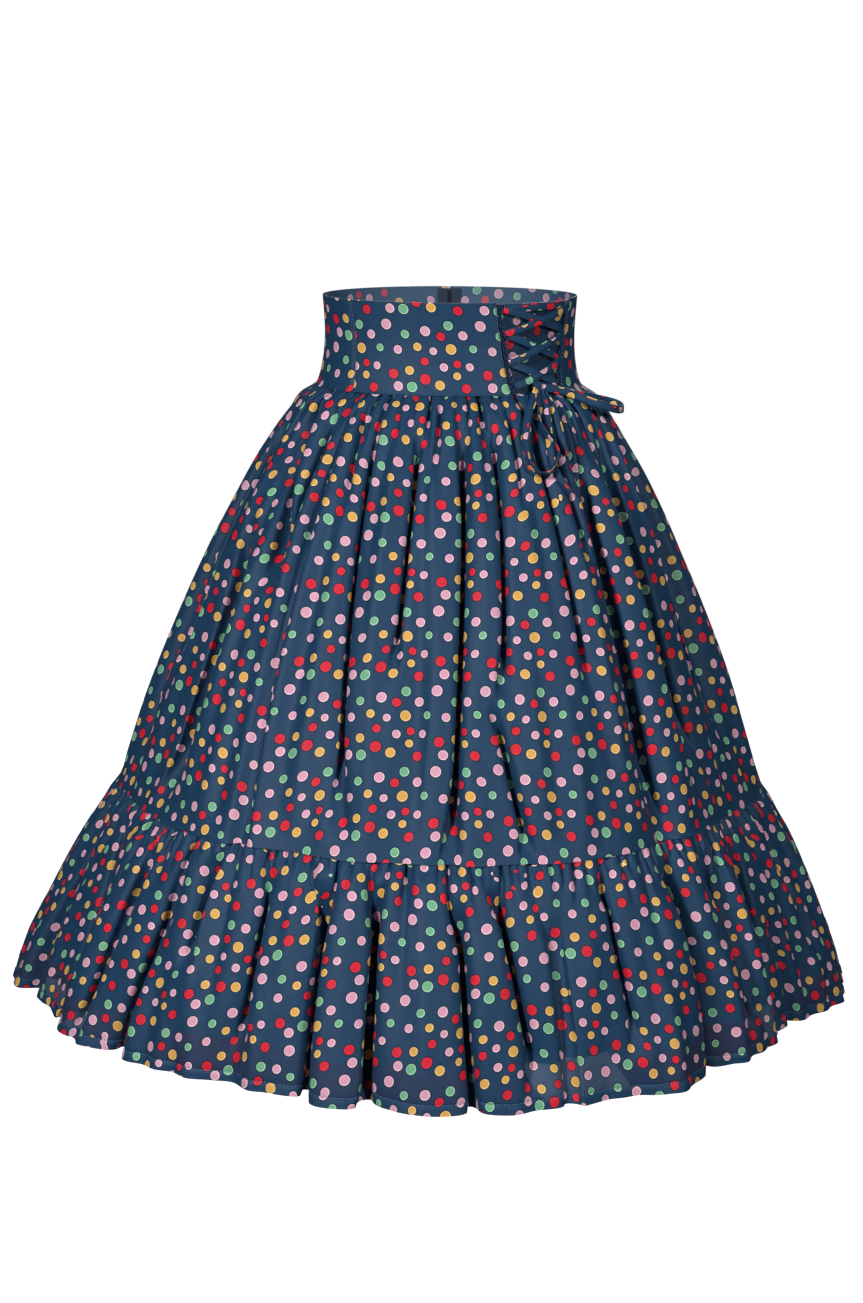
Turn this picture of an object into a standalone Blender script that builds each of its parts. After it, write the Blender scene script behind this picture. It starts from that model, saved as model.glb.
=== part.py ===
"""Full cotton skirt with a laced high waist, a gathered main tier and a gathered flounce.

The skirt keeps the hollow form it has when it is worn. The origin is the middle of the
waistband's narrowest ring, the front faces -Y, +X is the viewer's right and +Z is up.
Turn is the angle round the body in degrees: 0 at centre front, 90 at +X, 180 at centre back.
Level is the height above the narrowest ring. Lengths are in metres.
"""

import math

import bmesh
import bpy
from mathutils import Vector

# Driving sizes -----------------------------------------------------------------------------

WALL = 0.0012  # cloth wall
SEAM_GAP = 0.0003  # between pieces that are sewn together
GATHER_GAP = 0.0006  # between a gathered edge and what it is sewn to
TOP = 0.037  # top edge of the waistband
WAIST_SEAM = -0.048  # waistband to main tier
FLOUNCE_SEAM = -0.443  # main tier to flounce
HEM = -0.646
LEAN = 0.017  # sideways drift of the ring centres, per metre below the waist
TILT = 0.017  # drop of the hem level, per metre to the right

# The outline of the worn skirt, from the top edge down to the hem.
# level, half_width, half_depth
RINGS = (
    (TOP, 0.1205, 0.0945),
    (0.018, 0.1190, 0.0925),
    (0.000, 0.1183, 0.0915),
    (-0.020, 0.1195, 0.0925),
    (-0.038, 0.1228, 0.0952),
    (WAIST_SEAM, 0.1275, 0.0980),
    (-0.057, 0.1405, 0.1080),
    (-0.075, 0.1550, 0.1220),
    (-0.100, 0.1705, 0.1360),
    (-0.140, 0.1940, 0.1560),
    (-0.200, 0.2240, 0.1820),
    (-0.270, 0.2545, 0.2100),
    (-0.350, 0.2865, 0.2400),
    (FLOUNCE_SEAM, 0.3190, 0.2740),
    (-0.460, 0.3330, 0.2870),
    (-0.500, 0.3575, 0.3080),
    (-0.560, 0.3860, 0.3310),
    (-0.610, 0.4050, 0.3460),
    (HEM, 0.4160, 0.3550),
)

# How far the cloth stands out of its ring, all round, at the flounce seam and at the hem.
# turn, at_seam, at_hem
SWAY = (
    (-180, 0.000, -0.004),
    (-160, -0.006, -0.012),
    (-142, 0.002, 0.002),
    (-124, -0.006, -0.010),
    (-106, 0.003, 0.004),
    (-86, -0.001, 0.001),
    (-76, -0.010, -0.024),
    (-63, -0.010, -0.010),
    (-50, -0.004, -0.019),
    (-38, 0.001, -0.020),
    (-26, -0.008, -0.026),
    (-14, 0.002, -0.003),
    (-7, -0.002, -0.011),
    (3, 0.006, 0.006),
    (12, 0.001, -0.006),
    (19, 0.005, -0.008),
    (27, 0.000, -0.022),
    (33, -0.003, -0.011),
    (39, -0.012, -0.030),
    (50, -0.014, -0.040),
    (62, -0.023, -0.042),
    (71, -0.022, -0.046),
    (80, -0.012, -0.024),
    (90, -0.001, -0.002),
    (103, 0.004, 0.004),
    (122, -0.006, -0.010),
    (141, 0.003, 0.003),
    (160, -0.006, -0.010),
    (180, 0.000, -0.004),
)

# The main folds, each a trough that starts and ends at a level, fading in and out. An end
# under the hem means that the fold runs out at the hem.
# start_turn, end_turn, start, end, depth, spread (half width in degrees)
FOLDS = (
    # main tier, front
    (-58, -50, -0.056, -0.260, 0.011, 5.0),
    (-47, -44, -0.052, -0.180, 0.006, 3.5),
    (-39, -34, -0.030, -0.600, 0.005, 3.5),
    (-33, -29, -0.050, -0.150, 0.007, 3.5),
    (-26, -17, -0.056, -0.440, 0.013, 5.0),
    (-10, -10, -0.066, -0.280, 0.008, 4.0),
    (-3, -4, -0.050, -0.120, 0.005, 3.0),
    (5, 1, -0.052, -0.480, 0.016, 5.0),
    (16, 11, -0.056, -0.320, 0.009, 4.0),
    (9, 15, -0.320, -0.450, 0.006, 4.0),
    (22, 21, -0.052, -0.150, 0.006, 3.0),
    (29, 30, -0.070, -0.290, 0.008, 4.0),
    (36, 37, -0.052, -0.160, 0.006, 3.5),
    (47, 41, -0.080, -0.480, 0.014, 5.0),
    (59, 56, -0.060, -0.360, 0.014, 5.0),
    (-63, -53, -0.200, -0.450, 0.011, 6.0),
    # main tier, sides and back
    (180, 180, -0.030, -0.800, 0.004, 3.5),
    (71, 67, -0.056, -0.300, 0.010, 5.0),
    (82, 77, -0.056, -0.440, 0.010, 6.0),
    (94, 91, -0.060, -0.300, 0.009, 4.5),
    (106, 103, -0.056, -0.440, 0.012, 5.0),
    (119, 116, -0.056, -0.320, 0.012, 5.0),
    (132, 130, -0.060, -0.380, 0.010, 5.0),
    (146, 143, -0.056, -0.440, 0.013, 5.0),
    (159, 157, -0.056, -0.280, 0.009, 4.0),
    (169, 168, -0.070, -0.440, 0.012, 4.5),
    (-71, -70, -0.056, -0.340, 0.010, 5.0),
    (-84, -81, -0.056, -0.430, 0.012, 5.0),
    (-97, -94, -0.060, -0.280, 0.009, 4.5),
    (-109, -105, -0.056, -0.440, 0.013, 5.0),
    (-122, -119, -0.056, -0.360, 0.010, 5.0),
    (-136, -132, -0.056, -0.320, 0.012, 5.0),
    (-149, -146, -0.060, -0.440, 0.013, 5.0),
    (-165, -163, -0.070, -0.340, 0.010, 4.5),
    # flounce, front
    (-80, -79, -0.450, -0.700, 0.010, 4.0),
    (-69, -63, -0.446, -0.700, 0.018, 5.0),
    (-55, -57, -0.450, -0.600, 0.008, 3.5),
    (-44, -49, -0.500, -0.700, 0.010, 4.0),
    (-39, -38, -0.446, -0.560, 0.010, 4.0),
    (-28, -27, -0.446, -0.570, 0.008, 3.5),
    (-18, -17, -0.448, -0.700, 0.018, 4.0),
    (-10, -9, -0.444, -0.660, 0.014, 4.0),
    (2, 5, -0.450, -0.700, 0.014, 4.0),
    (8, 13, -0.448, -0.600, 0.009, 3.5),
    (17, 18, -0.455, -0.700, 0.008, 5.0),
    (26, 28, -0.448, -0.580, 0.008, 3.5),
    (41, 40, -0.446, -0.700, 0.018, 4.5),
    (50, 51, -0.446, -0.600, 0.009, 3.5),
    (62, 60, -0.450, -0.640, 0.013, 4.5),
    (71, 70, -0.520, -0.700, 0.010, 4.0),
    # flounce, sides and back
    (82, 80, -0.446, -0.600, 0.009, 4.0),
    (91, 93, -0.450, -0.700, 0.014, 4.5),
    (102, 101, -0.448, -0.600, 0.009, 4.0),
    (112, 113, -0.446, -0.700, 0.017, 4.5),
    (124, 122, -0.450, -0.700, 0.010, 4.0),
    (134, 136, -0.446, -0.700, 0.016, 4.5),
    (147, 145, -0.448, -0.620, 0.010, 4.0),
    (157, 158, -0.450, -0.700, 0.016, 4.5),
    (169, 167, -0.446, -0.700, 0.012, 4.0),
    (-91, -93, -0.446, -0.700, 0.016, 4.5),
    (-102, -101, -0.450, -0.620, 0.009, 4.0),
    (-113, -115, -0.446, -0.700, 0.016, 4.5),
    (-125, -124, -0.448, -0.700, 0.011, 4.0),
    (-137, -139, -0.450, -0.700, 0.016, 4.5),
    (-149, -148, -0.446, -0.600, 0.009, 4.0),
    (-158, -160, -0.450, -0.700, 0.015, 4.5),
    (-170, -169, -0.446, -0.700, 0.012, 4.0),
)
FADE = 0.28  # share of a fold's length in which it fades in, and out

# Where the cloth is cut into panels. The edges may slant, so each has a turn at both ends.
# name, left_top, left_low, right_top, right_low
WAIST_PANELS = (
    ("waist_left", -180.0, -180.0, -51.0, -46.0),
    ("waist_front", -51.0, -46.0, 20.5, 27.5),
    ("waist_right", 68.5, 56.5, 180.0, 180.0),
)
TIER_PANELS = (
    ("skirt_back_left", -180.0, -180.0, -109.0, -105.0),
    ("skirt_left", -109.0, -105.0, -39.0, -34.0),
    ("skirt_front", -39.0, -34.0, 47.0, 41.5),
    ("skirt_right", 47.0, 41.5, 106.0, 103.0),
    ("skirt_back_right", 106.0, 103.0, 180.0, 180.0),
)
FLOUNCE_PANELS = (
    ("flounce_left", -180.0, -180.0, -91.0, -92.5),
    ("flounce_front", -91.0, -92.5, 91.0, 92.5),
    ("flounce_right", 91.0, 92.5, 180.0, 180.0),
)
WAIST_LEVELS = (TOP, 0.018, 0.0, -0.020, -0.038, WAIST_SEAM)
TIER_LEVELS = (
    WAIST_SEAM, -0.057, -0.075, -0.100, -0.140, -0.200, -0.270, -0.350, FLOUNCE_SEAM,
)
FLOUNCE_LEVELS = (FLOUNCE_SEAM, -0.460, -0.500, -0.560, -0.610, HEM)
WAIST_STEP = 6.0  # degrees between the columns of a panel
CLOTH_STEP = 2.8

# Lacing, in the opening between the front and the right waist panel.
OPENING_LEFT = (20.5, 27.5)  # turn at the top edge and at the waist seam
OPENING_RIGHT = (68.5, 56.5)
MODESTY_UNDER = 6.0  # degrees that the panel behind reaches past the opening
MODESTY_GAP = 0.0004  # between it and the waistband
MODESTY_SHORT = 0.0015  # how far it stops inside the top edge and the waist seam
TAPE_WIDTH = 0.0042
TAPE_WALL = 0.0010
TAPE_SHORT = 0.0010
LACE_WIDTH = 0.0074
LACE_WALL = 0.0009
LACE_STEPS = 6
UNDER_OUT = 0.0009  # mid-thickness of the crossings below, out of the waistband's face
OVER_OUT = 0.0024  # and of those above
BAR_OUT = -0.0007
# name, left_turn, left_level, right_turn, right_level, out
LACING = (
    ("lace_bar", 25.8, 0.0318, 64.3, 0.0318, BAR_OUT),
    ("lace_under_1", 24.0, 0.0312, 61.5, 0.0085, UNDER_OUT),
    ("lace_under_2", 26.5, 0.0068, 58.8, -0.0178, UNDER_OUT),
    ("lace_under_3", 28.8, -0.0196, 55.0, -0.0398, UNDER_OUT),
    ("lace_over_1", 24.2, 0.0080, 65.2, 0.0310, OVER_OUT),
    ("lace_over_2", 27.0, -0.0182, 62.2, 0.0062, OVER_OUT),
    ("lace_over_3", 29.4, -0.0398, 59.4, -0.0180, OVER_OUT),
)
KNOT_TURN = 40.0
KNOT_LEVEL = -0.0405
KNOT_SIZE = (0.0105, 0.0048, 0.0085)  # across, outwards and upwards
KNOT_OUT = 0.0034  # its middle, out of the waistband's face
KNOT_FACETS = (12, 8)  # round it and from pole to pole

# Routes of the bow's free stretches, out of the plain ring. Face is the strap's turn about
# its own run in degrees: 0 lies flat to the body, 90 stands on edge.
# turn, level, out, face
BOW = {
    "lace_loop_right": (
        (43.5, -0.0415, 0.0052, 5),
        (46.5, -0.0432, 0.0062, 5),
        (50.1, -0.0453, 0.0075, 5),
        (53.9, -0.0473, 0.0090, 5),
        (56.5, -0.0500, 0.0110, 5),
        (57.8, -0.0530, 0.0135, 5),
        (59.0, -0.0555, 0.0162, 5),
        (60.8, -0.0580, 0.0190, 5),
        (63.2, -0.0603, 0.0212, 5),
        (66.0, -0.0630, 0.0228, 5),
        (69.5, -0.0652, 0.0235, 5),
        (74.0, -0.0655, 0.0232, 5),
        (77.6, -0.0642, 0.0215, 5),
        (79.0, -0.0618, 0.0190, 5),
        (77.5, -0.0587, 0.0168, 5),
        (75.0, -0.0560, 0.0143, 5),
        (72.2, -0.0533, 0.0118, 5),
        (68.9, -0.0513, 0.0095, 5),
        (64.4, -0.0493, 0.0075, 5),
        (59.5, -0.0473, 0.0058, 5),
        (54.2, -0.0447, 0.0046, 5),
        (48.6, -0.0428, 0.0036, 5),
        (44.0, -0.0410, 0.0030, 5),
    ),
    "lace_loop_left": (
        (37.6, -0.0462, 0.0062, 10),
        (34.8, -0.0510, 0.0060, 30),
        (31.0, -0.0573, 0.0062, 50),
        (28.0, -0.0660, 0.0066, 66),
        (26.1, -0.0760, 0.0074, 78),
        (24.6, -0.0867, 0.0082, 86),
        (24.2, -0.0967, 0.0088, 90),
        (24.6, -0.1053, 0.0092, 90),
        (26.1, -0.1113, 0.0094, 90),
        (28.0, -0.1130, 0.0094, 90),
        (30.2, -0.1112, 0.0094, 90),
        (32.3, -0.1060, 0.0094, 90),
        (34.0, -0.1007, 0.0094, 88),
        (35.0, -0.0960, 0.0095, 80),
        (34.8, -0.0905, 0.0095, 65),
        (33.8, -0.0845, 0.0092, 48),
        (33.0, -0.0780, 0.0086, 34),
        (32.6, -0.0713, 0.0078, 24),
        (33.2, -0.0633, 0.0072, 18),
        (35.5, -0.0553, 0.0068, 14),
        (39.0, -0.0467, 0.0060, 10),
    ),
    "lace_tail_a": (
        (40.9, -0.0462, 0.0037, 8),
        (39.6, -0.0527, 0.0037, 10),
        (37.4, -0.0620, 0.0034, 14),
        (35.6, -0.0740, 0.0032, 16),
        (34.2, -0.0873, 0.0030, 16),
        (33.2, -0.1013, 0.0030, 16),
        (33.2, -0.1113, 0.0030, 18),
        (34.0, -0.1213, 0.0034, 35),
        (35.9, -0.1320, 0.0042, 60),
    ),
    "lace_tail_b": (
        (43.2, -0.0462, 0.0025, 8),
        (41.9, -0.0540, 0.0030, 16),
        (40.6, -0.0640, 0.0038, 36),
        (39.8, -0.0760, 0.0042, 55),
        (39.0, -0.0880, 0.0044, 60),
        (38.4, -0.1000, 0.0044, 60),
    ),
}
BOW_STEPS = 2  # points between two rows of a route

# Zip in the centre-back seam. Its slider stays at the top, and only the pull swings.
ZIP_TAPE_HALF = 0.011
ZIP_TAPE_WALL = 0.0010
ZIP_TAPE_GAP = 0.0009  # between the tape and the cloth before it
ZIP_TAPE_SHORT = 0.0020
ZIP_TAPE_ROWS = 5  # levels of the tier that the tape runs down
SLIDER_LEVEL = 0.0265
SLIDER_SIZE = (0.0064, 0.0017, 0.0110)
SLIDER_SEAT = 0.0003
ARCH_WIDTH = 0.0014
ARCH_WINDOW = (0.0022, 0.0036)  # outwards and upwards
ARCH_LEG = 0.0010
ARCH_SINK = 0.0008  # how far its legs reach into the slider's body
PULL_WALL = 0.0010
PULL_HALF = 0.0025
PULL_LENGTH = 0.0200
PULL_BAR = 0.0006  # half the height of the bar in the arch
PULL_EYE = (0.0011, 0.0041)  # half width, and how far down it reaches
PULL_SHOULDER = 0.0050  # how far down the head of the tab reaches
PULL_NECK = (0.0014, 0.0078)  # half width, and how far down it is narrowest
PULL_END = 0.0023  # radius of its rounded end
PULL_END_STEPS = 6

PROBE_TURN = 0.5  # half steps in which directions on the form are measured
PROBE_LEVEL = 0.001
WELD = 1e-6


# Form ---------------------------------------------------------------------------------------


def table_value(rows, key, column):
    """One column of a table sorted by its first column, run smoothly through its rows."""
    ascending = rows if rows[0][0] < rows[-1][0] else rows[::-1]
    last = len(ascending) - 1
    key = min(max(key, ascending[0][0]), ascending[last][0])
    index = 0
    while index < last - 1 and key > ascending[index + 1][0]:
        index += 1

    def slope(i):
        low, high = max(i - 1, 0), min(i + 1, last)
        rise = ascending[high][column] - ascending[low][column]
        return rise / (ascending[high][0] - ascending[low][0])

    start, end = ascending[index], ascending[index + 1]
    span = end[0] - start[0]
    s = (key - start[0]) / span
    return (
        (2 * s**3 - 3 * s**2 + 1) * start[column]
        + (s**3 - 2 * s**2 + s) * span * slope(index)
        + (3 * s**2 - 2 * s**3) * end[column]
        + (s**3 - s**2) * span * slope(index + 1)
    )


def eased(s):
    s = min(max(s, 0.0), 1.0)
    return s * s * (3 - 2 * s)


def fold_depth(turn, level):
    """How far all folds together pull the cloth inwards at one place."""
    depth = 0.0
    for start_turn, end_turn, start, end, deepest, spread in FOLDS:
        along = (start - level) / (start - end)
        if not 0.0 < along < 1.0:
            continue
        middle = start_turn + (end_turn - start_turn) * along
        off = (turn - middle + 180.0) % 360.0 - 180.0
        if abs(off) < spread:
            across = 0.5 * (1 + math.cos(math.pi * off / spread))
            depth += deepest * across * eased(along / FADE) * eased((1 - along) / FADE)
    return depth


def sway(turn, level):
    """How far the cloth stands out of its ring: from none at the waist to the hem's."""
    turn = (turn + 180.0) % 360.0 - 180.0
    at_seam = table_value(SWAY, turn, 1)
    if level > FLOUNCE_SEAM:
        return at_seam * eased((WAIST_SEAM - level) / (WAIST_SEAM - FLOUNCE_SEAM))
    share = (FLOUNCE_SEAM - level) / (FLOUNCE_SEAM - HEM)
    return at_seam + (table_value(SWAY, turn, 2) - at_seam) * min(share, 1.0)


def ring_point(turn, level, out=0.0):
    """A point of the skirt's ring, or moved out of it, without folds."""
    half_width = table_value(RINGS, level, 1)
    half_depth = table_value(RINGS, level, 2)
    angle = math.radians(turn)
    normal = Vector((math.sin(angle) / half_width, -math.cos(angle) / half_depth, 0.0))
    normal.normalize()
    place = Vector((half_width * math.sin(angle), -half_depth * math.cos(angle), level))
    place += normal * out
    below = max(0.0, -level)
    place.x -= LEAN * below
    place.z -= TILT * place.x * below / -HEM
    return place


def skirt_point(turn, level, out=0.0):
    """A point of the skirt's outer face, or of a layer moved out of it."""
    return ring_point(turn, level, out + sway(turn, level) - fold_depth(turn, level))


def outward(turn, level):
    """The direction out of the cloth at a place."""
    around = ring_point(turn + PROBE_TURN, level) - ring_point(turn - PROBE_TURN, level)
    down = ring_point(turn, level - PROBE_LEVEL) - ring_point(turn, level + PROBE_LEVEL)
    return down.cross(around).normalized()


def turned(distance, turn, level):
    """A distance round the skirt as an angle at that place."""
    around = ring_point(turn + PROBE_TURN, level) - ring_point(turn - PROBE_TURN, level)
    return distance * 2 * PROBE_TURN / around.length


# Objects ------------------------------------------------------------------------------------


def clear_scene():
    for old in list(bpy.data.objects):
        bpy.data.objects.remove(old, do_unlink=True)


def new_collection(name):
    collection = bpy.data.collections.new(name)
    bpy.context.scene.collection.children.link(collection)
    return collection


def material(name, colour, roughness, metallic=0.0):
    made = bpy.data.materials.new(name)
    made.use_nodes = True
    shader = made.node_tree.nodes["Principled BSDF"]
    shader.inputs["Base Color"].default_value = (*colour, 1.0)
    shader.inputs["Roughness"].default_value = roughness
    shader.inputs["Metallic"].default_value = metallic
    made.diffuse_color = (*colour, 1.0)
    return made


def add_object(name, data, look):
    made = bpy.data.objects.new(name, data)
    made.data.materials.append(look)
    PARTS.objects.link(made)
    return made


def loft(name, rows, look, wall, offset):
    """Cloth through rows of points, from the top row down, with its wall by Solidify."""
    shape = bmesh.new()
    lines = [[shape.verts.new(point) for point in row] for row in rows]
    for upper, lower in zip(lines, lines[1:]):
        for i in range(len(upper) - 1):
            shape.faces.new((upper[i], lower[i], lower[i + 1], upper[i + 1]))
    mesh = bpy.data.meshes.new(name)
    shape.to_mesh(mesh)
    shape.free()
    made = add_object(name, mesh, look)
    solid = made.modifiers.new("wall", "SOLIDIFY")
    solid.thickness = wall
    solid.offset = offset
    return made


def panel(edges, levels, step, look, out=0.0, gaps=(0.0, 0.0)):
    """One cut panel of the skirt, between two edges that may slant. Gaps are at its top
    and at its low edge."""
    name, left_top, left_low, right_top, right_low = edges
    top, low = levels[0], levels[-1]
    columns = max(2, round((right_top - left_top) / step))
    rows = []
    for level in levels:
        share = (top - level) / (top - low)
        left = left_top + (left_low - left_top) * share
        right = right_top + (right_low - right_top) * share
        left += turned(SEAM_GAP / 2, left, level)
        right -= turned(SEAM_GAP / 2, right, level)
        at = level
        if level == top:
            at -= gaps[0] / 2
        if level == low:
            at += gaps[1] / 2
        turns = [left + (right - left) * i / columns for i in range(columns + 1)]
        rows.append([skirt_point(turn, at, out) for turn in turns])
    return loft(name, rows, look, WALL, -1.0)


def strap(name, middles, acrosses, width, wall, look):
    """A flat strap along its middle line, with the direction across it at each point."""
    left = [p - a * width / 2 for p, a in zip(middles, acrosses)]
    right = [p + a * width / 2 for p, a in zip(middles, acrosses)]
    return loft(name, [left, right], look, wall, 0.0)


def runs(points):
    """The direction of a line at each of its points."""
    last = len(points) - 1
    return [(points[min(i + 1, last)] - points[max(i - 1, 0)]).normalized() for i in range(last + 1)]


def lacing_strap(row, look):
    name, left_turn, left_level, right_turn, right_level, out = row
    places = [
        (
            left_turn + (right_turn - left_turn) * i / LACE_STEPS,
            left_level + (right_level - left_level) * i / LACE_STEPS,
        )
        for i in range(LACE_STEPS + 1)
    ]
    middles = [skirt_point(turn, level, out) for turn, level in places]
    normals = [outward(turn, level) for turn, level in places]
    acrosses = [n.cross(r).normalized() for n, r in zip(normals, runs(middles))]
    return strap(name, middles, acrosses, LACE_WIDTH, LACE_WALL, look)


def bow_strap(name, route, look):
    """A free stretch of the lace on a smooth curve through its route."""
    rows = [(i, *row) for i, row in enumerate(route)]
    count = (len(rows) - 1) * BOW_STEPS
    places = [
        [table_value(rows, i / BOW_STEPS, column) for column in (1, 2, 3, 4)]
        for i in range(count + 1)
    ]
    middles = [ring_point(turn, level, out) for turn, level, out, _ in places]
    acrosses = []
    for (turn, level, _, face), run in zip(places, runs(middles)):
        away = outward(turn, level)
        away = (away - run * away.dot(run)).normalized()
        flat = away.cross(run)
        face = math.radians(face)
        acrosses.append(flat * math.cos(face) + away * math.sin(face))
    return strap(name, middles, acrosses, LACE_WIDTH, LACE_WALL, look)


def edge_tape(name, edge, side, look):
    """The loop tape beside one edge of the opening. Side is 1 to its right, -1 to its left."""
    rows = []
    for level in WAIST_LEVELS:
        share = (TOP - level) / (TOP - WAIST_SEAM)
        turn = edge[0] + (edge[1] - edge[0]) * share
        near = turn + side * turned(SEAM_GAP, turn, level)
        far = near + side * turned(TAPE_WIDTH, turn, level)
        at = min(max(level, WAIST_SEAM + TAPE_SHORT), TOP - TAPE_SHORT)
        turns = sorted((near, far))
        rows.append([skirt_point(t, at) for t in (turns[0], sum(turns) / 2, turns[1])])
    return loft(name, rows, look, TAPE_WALL, -1.0)


def knot(look):
    made = bmesh.new()
    bmesh.ops.create_uvsphere(
        made, u_segments=KNOT_FACETS[0], v_segments=KNOT_FACETS[1], radius=0.5
    )
    mesh = bpy.data.meshes.new("lace_knot")
    made.to_mesh(mesh)
    made.free()
    ball = add_object("lace_knot", mesh, look)
    ball.scale = KNOT_SIZE
    ball.rotation_euler.z = math.radians(KNOT_TURN)
    ball.location = skirt_point(KNOT_TURN, KNOT_LEVEL, KNOT_OUT)
    return ball


def zip_tape(look):
    """The zip's tape behind the centre-back seam, through the waistband and the tier."""
    levels = (TOP - ZIP_TAPE_SHORT, *WAIST_LEVELS[1:], *TIER_LEVELS[1:ZIP_TAPE_ROWS])
    rows = []
    for level in levels:
        half = turned(ZIP_TAPE_HALF, 180.0, level)
        turns = [180.0 + half * share for share in (-1.0, -0.5, 0.0, 0.5, 1.0)]
        rows.append([skirt_point(turn, level, -WALL - ZIP_TAPE_GAP) for turn in turns])
    return loft("zip_tape", rows, look, ZIP_TAPE_WALL, -1.0)


def block(name, size, middle, look):
    made = bmesh.new()
    bmesh.ops.create_cube(made, size=1.0)
    bmesh.ops.scale(made, vec=Vector(size), verts=made.verts)
    bmesh.ops.translate(made, vec=middle, verts=made.verts)
    mesh = bpy.data.meshes.new(name)
    made.to_mesh(mesh)
    made.free()
    return add_object(name, mesh, look)


def outline_solid(name, outlines, half_wall, look):
    """A plate from closed outlines in its own plane, holes among them, as a mesh."""
    curve = bpy.data.curves.new(name, "CURVE")
    curve.dimensions = "2D"
    curve.fill_mode = "BOTH"
    curve.extrude = half_wall
    for outline in outlines:
        spline = curve.splines.new("POLY")
        spline.points.add(len(outline) - 1)
        spline.use_cyclic_u = True
        for point, (x, y) in zip(spline.points, outline):
            point.co = (x, y, 0.0, 1.0)
    drawn = bpy.data.objects.new(name + "_outline", curve)
    bpy.context.scene.collection.objects.link(drawn)
    bpy.context.view_layer.update()
    evaluated = drawn.evaluated_get(bpy.context.evaluated_depsgraph_get())
    mesh = bpy.data.meshes.new_from_object(evaluated)
    bpy.data.objects.remove(drawn, do_unlink=True)
    welded = bmesh.new()
    welded.from_mesh(mesh)
    bmesh.ops.remove_doubles(welded, verts=welded.verts, dist=WELD)
    bmesh.ops.recalc_face_normals(welded, faces=welded.faces)
    welded.to_mesh(mesh)
    welded.free()
    mesh.materials.clear()
    return add_object(name, mesh, look)


def rectangle(x_low, x_high, y_low, y_high):
    return [(x_low, y_low), (x_high, y_low), (x_high, y_high), (x_low, y_high)]


def slider_face():
    """The x and y of the slider's outer face, at centre back."""
    half = SLIDER_SIZE[2] / 2
    walls = [skirt_point(180.0, SLIDER_LEVEL + shift) for shift in (-half, 0.0, half)]
    return walls[1].x, max(wall.y for wall in walls) + SLIDER_SEAT + SLIDER_SIZE[1]


def zip_slider(look):
    """The slider's body with the arch that the pull hangs in, joined."""
    x, face = slider_face()
    body = block(
        "zip_slider", SLIDER_SIZE, Vector((x, face - SLIDER_SIZE[1] / 2, SLIDER_LEVEL)), look
    )
    reach, height = ARCH_WINDOW
    half = height / 2 + ARCH_LEG
    arch = outline_solid(
        "zip_arch",
        [
            rectangle(-ARCH_SINK, reach + ARCH_LEG, -half, half),
            rectangle(0.0, reach, -height / 2, height / 2),
        ],
        ARCH_WIDTH / 2,
        look,
    )
    arch.rotation_euler = (math.radians(90), 0.0, math.radians(90))
    arch.location = (x, face, SLIDER_LEVEL)
    PARTS.objects.unlink(arch)
    CUTTERS.objects.link(arch)
    arch.hide_render = True
    arch.display_type = "WIRE"
    join = body.modifiers.new("arch", "BOOLEAN")
    join.operation = "UNION"
    join.solver = "EXACT"
    join.object = arch
    return body


def zip_pull(look):
    """The pull tab, hanging from the arch. Its origin is on the hinge."""
    neck, neck_down = PULL_NECK
    outer = [(-PULL_HALF, PULL_BAR), (-PULL_HALF, -PULL_SHOULDER), (-neck, -neck_down)]
    for i in range(PULL_END_STEPS + 1):
        angle = math.pi * (1 + i / PULL_END_STEPS)
        across = PULL_END * math.cos(angle)
        outer.append((across, PULL_END - PULL_LENGTH + PULL_END * math.sin(angle)))
    outer += [(neck, -neck_down), (PULL_HALF, -PULL_SHOULDER), (PULL_HALF, PULL_BAR)]
    eye = rectangle(-PULL_EYE[0], PULL_EYE[0], -PULL_EYE[1], -PULL_BAR)
    tab = outline_solid("zip_pull", [outer, eye], PULL_WALL / 2, look)
    x, face = slider_face()
    tab.rotation_euler.x = math.radians(90)
    tab.location = (x, face + ARCH_WINDOW[0] / 2, SLIDER_LEVEL)
    return tab


def build():
    print_cotton = material("printed_cotton", (0.024, 0.068, 0.126), 0.62)
    lace_cotton = material("lace_cotton", (0.028, 0.075, 0.135), 0.62)
    loop_thread = material("loop_thread", (0.006, 0.012, 0.036), 0.75)
    tape_weave = material("zip_tape_weave", (0.010, 0.022, 0.042), 0.80)
    zip_metal = material("zip_metal", (0.012, 0.026, 0.048), 0.35, 0.6)

    for edges in WAIST_PANELS:
        panel(edges, WAIST_LEVELS, WAIST_STEP, print_cotton, gaps=(0.0, SEAM_GAP))
    for edges in TIER_PANELS:
        panel(edges, TIER_LEVELS, CLOTH_STEP, print_cotton, gaps=(SEAM_GAP, GATHER_GAP))
    for edges in FLOUNCE_PANELS:
        panel(edges, FLOUNCE_LEVELS, CLOTH_STEP, print_cotton, gaps=(GATHER_GAP, 0.0))

    behind = (
        "waist_modesty",
        OPENING_LEFT[0] - MODESTY_UNDER,
        OPENING_LEFT[1] - MODESTY_UNDER,
        OPENING_RIGHT[0] + MODESTY_UNDER,
        OPENING_RIGHT[1] + MODESTY_UNDER,
    )
    modesty_levels = (
        TOP - MODESTY_SHORT, *WAIST_LEVELS[1:-1], WAIST_SEAM + MODESTY_SHORT,
    )
    panel(behind, modesty_levels, WAIST_STEP, print_cotton, out=-WALL - MODESTY_GAP)
    edge_tape("loop_tape_left", OPENING_LEFT, 1, loop_thread)
    edge_tape("loop_tape_right", OPENING_RIGHT, -1, loop_thread)

    for row in LACING:
        lacing_strap(row, lace_cotton)
    knot(lace_cotton)
    for name, route in BOW.items():
        bow_strap(name, route, lace_cotton)

    zip_tape(tape_weave)
    zip_slider(zip_metal)
    zip_pull(zip_metal)


clear_scene()
PARTS = new_collection("full_skirt")
CUTTERS = new_collection("full_skirt_cutters")
build()
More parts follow.
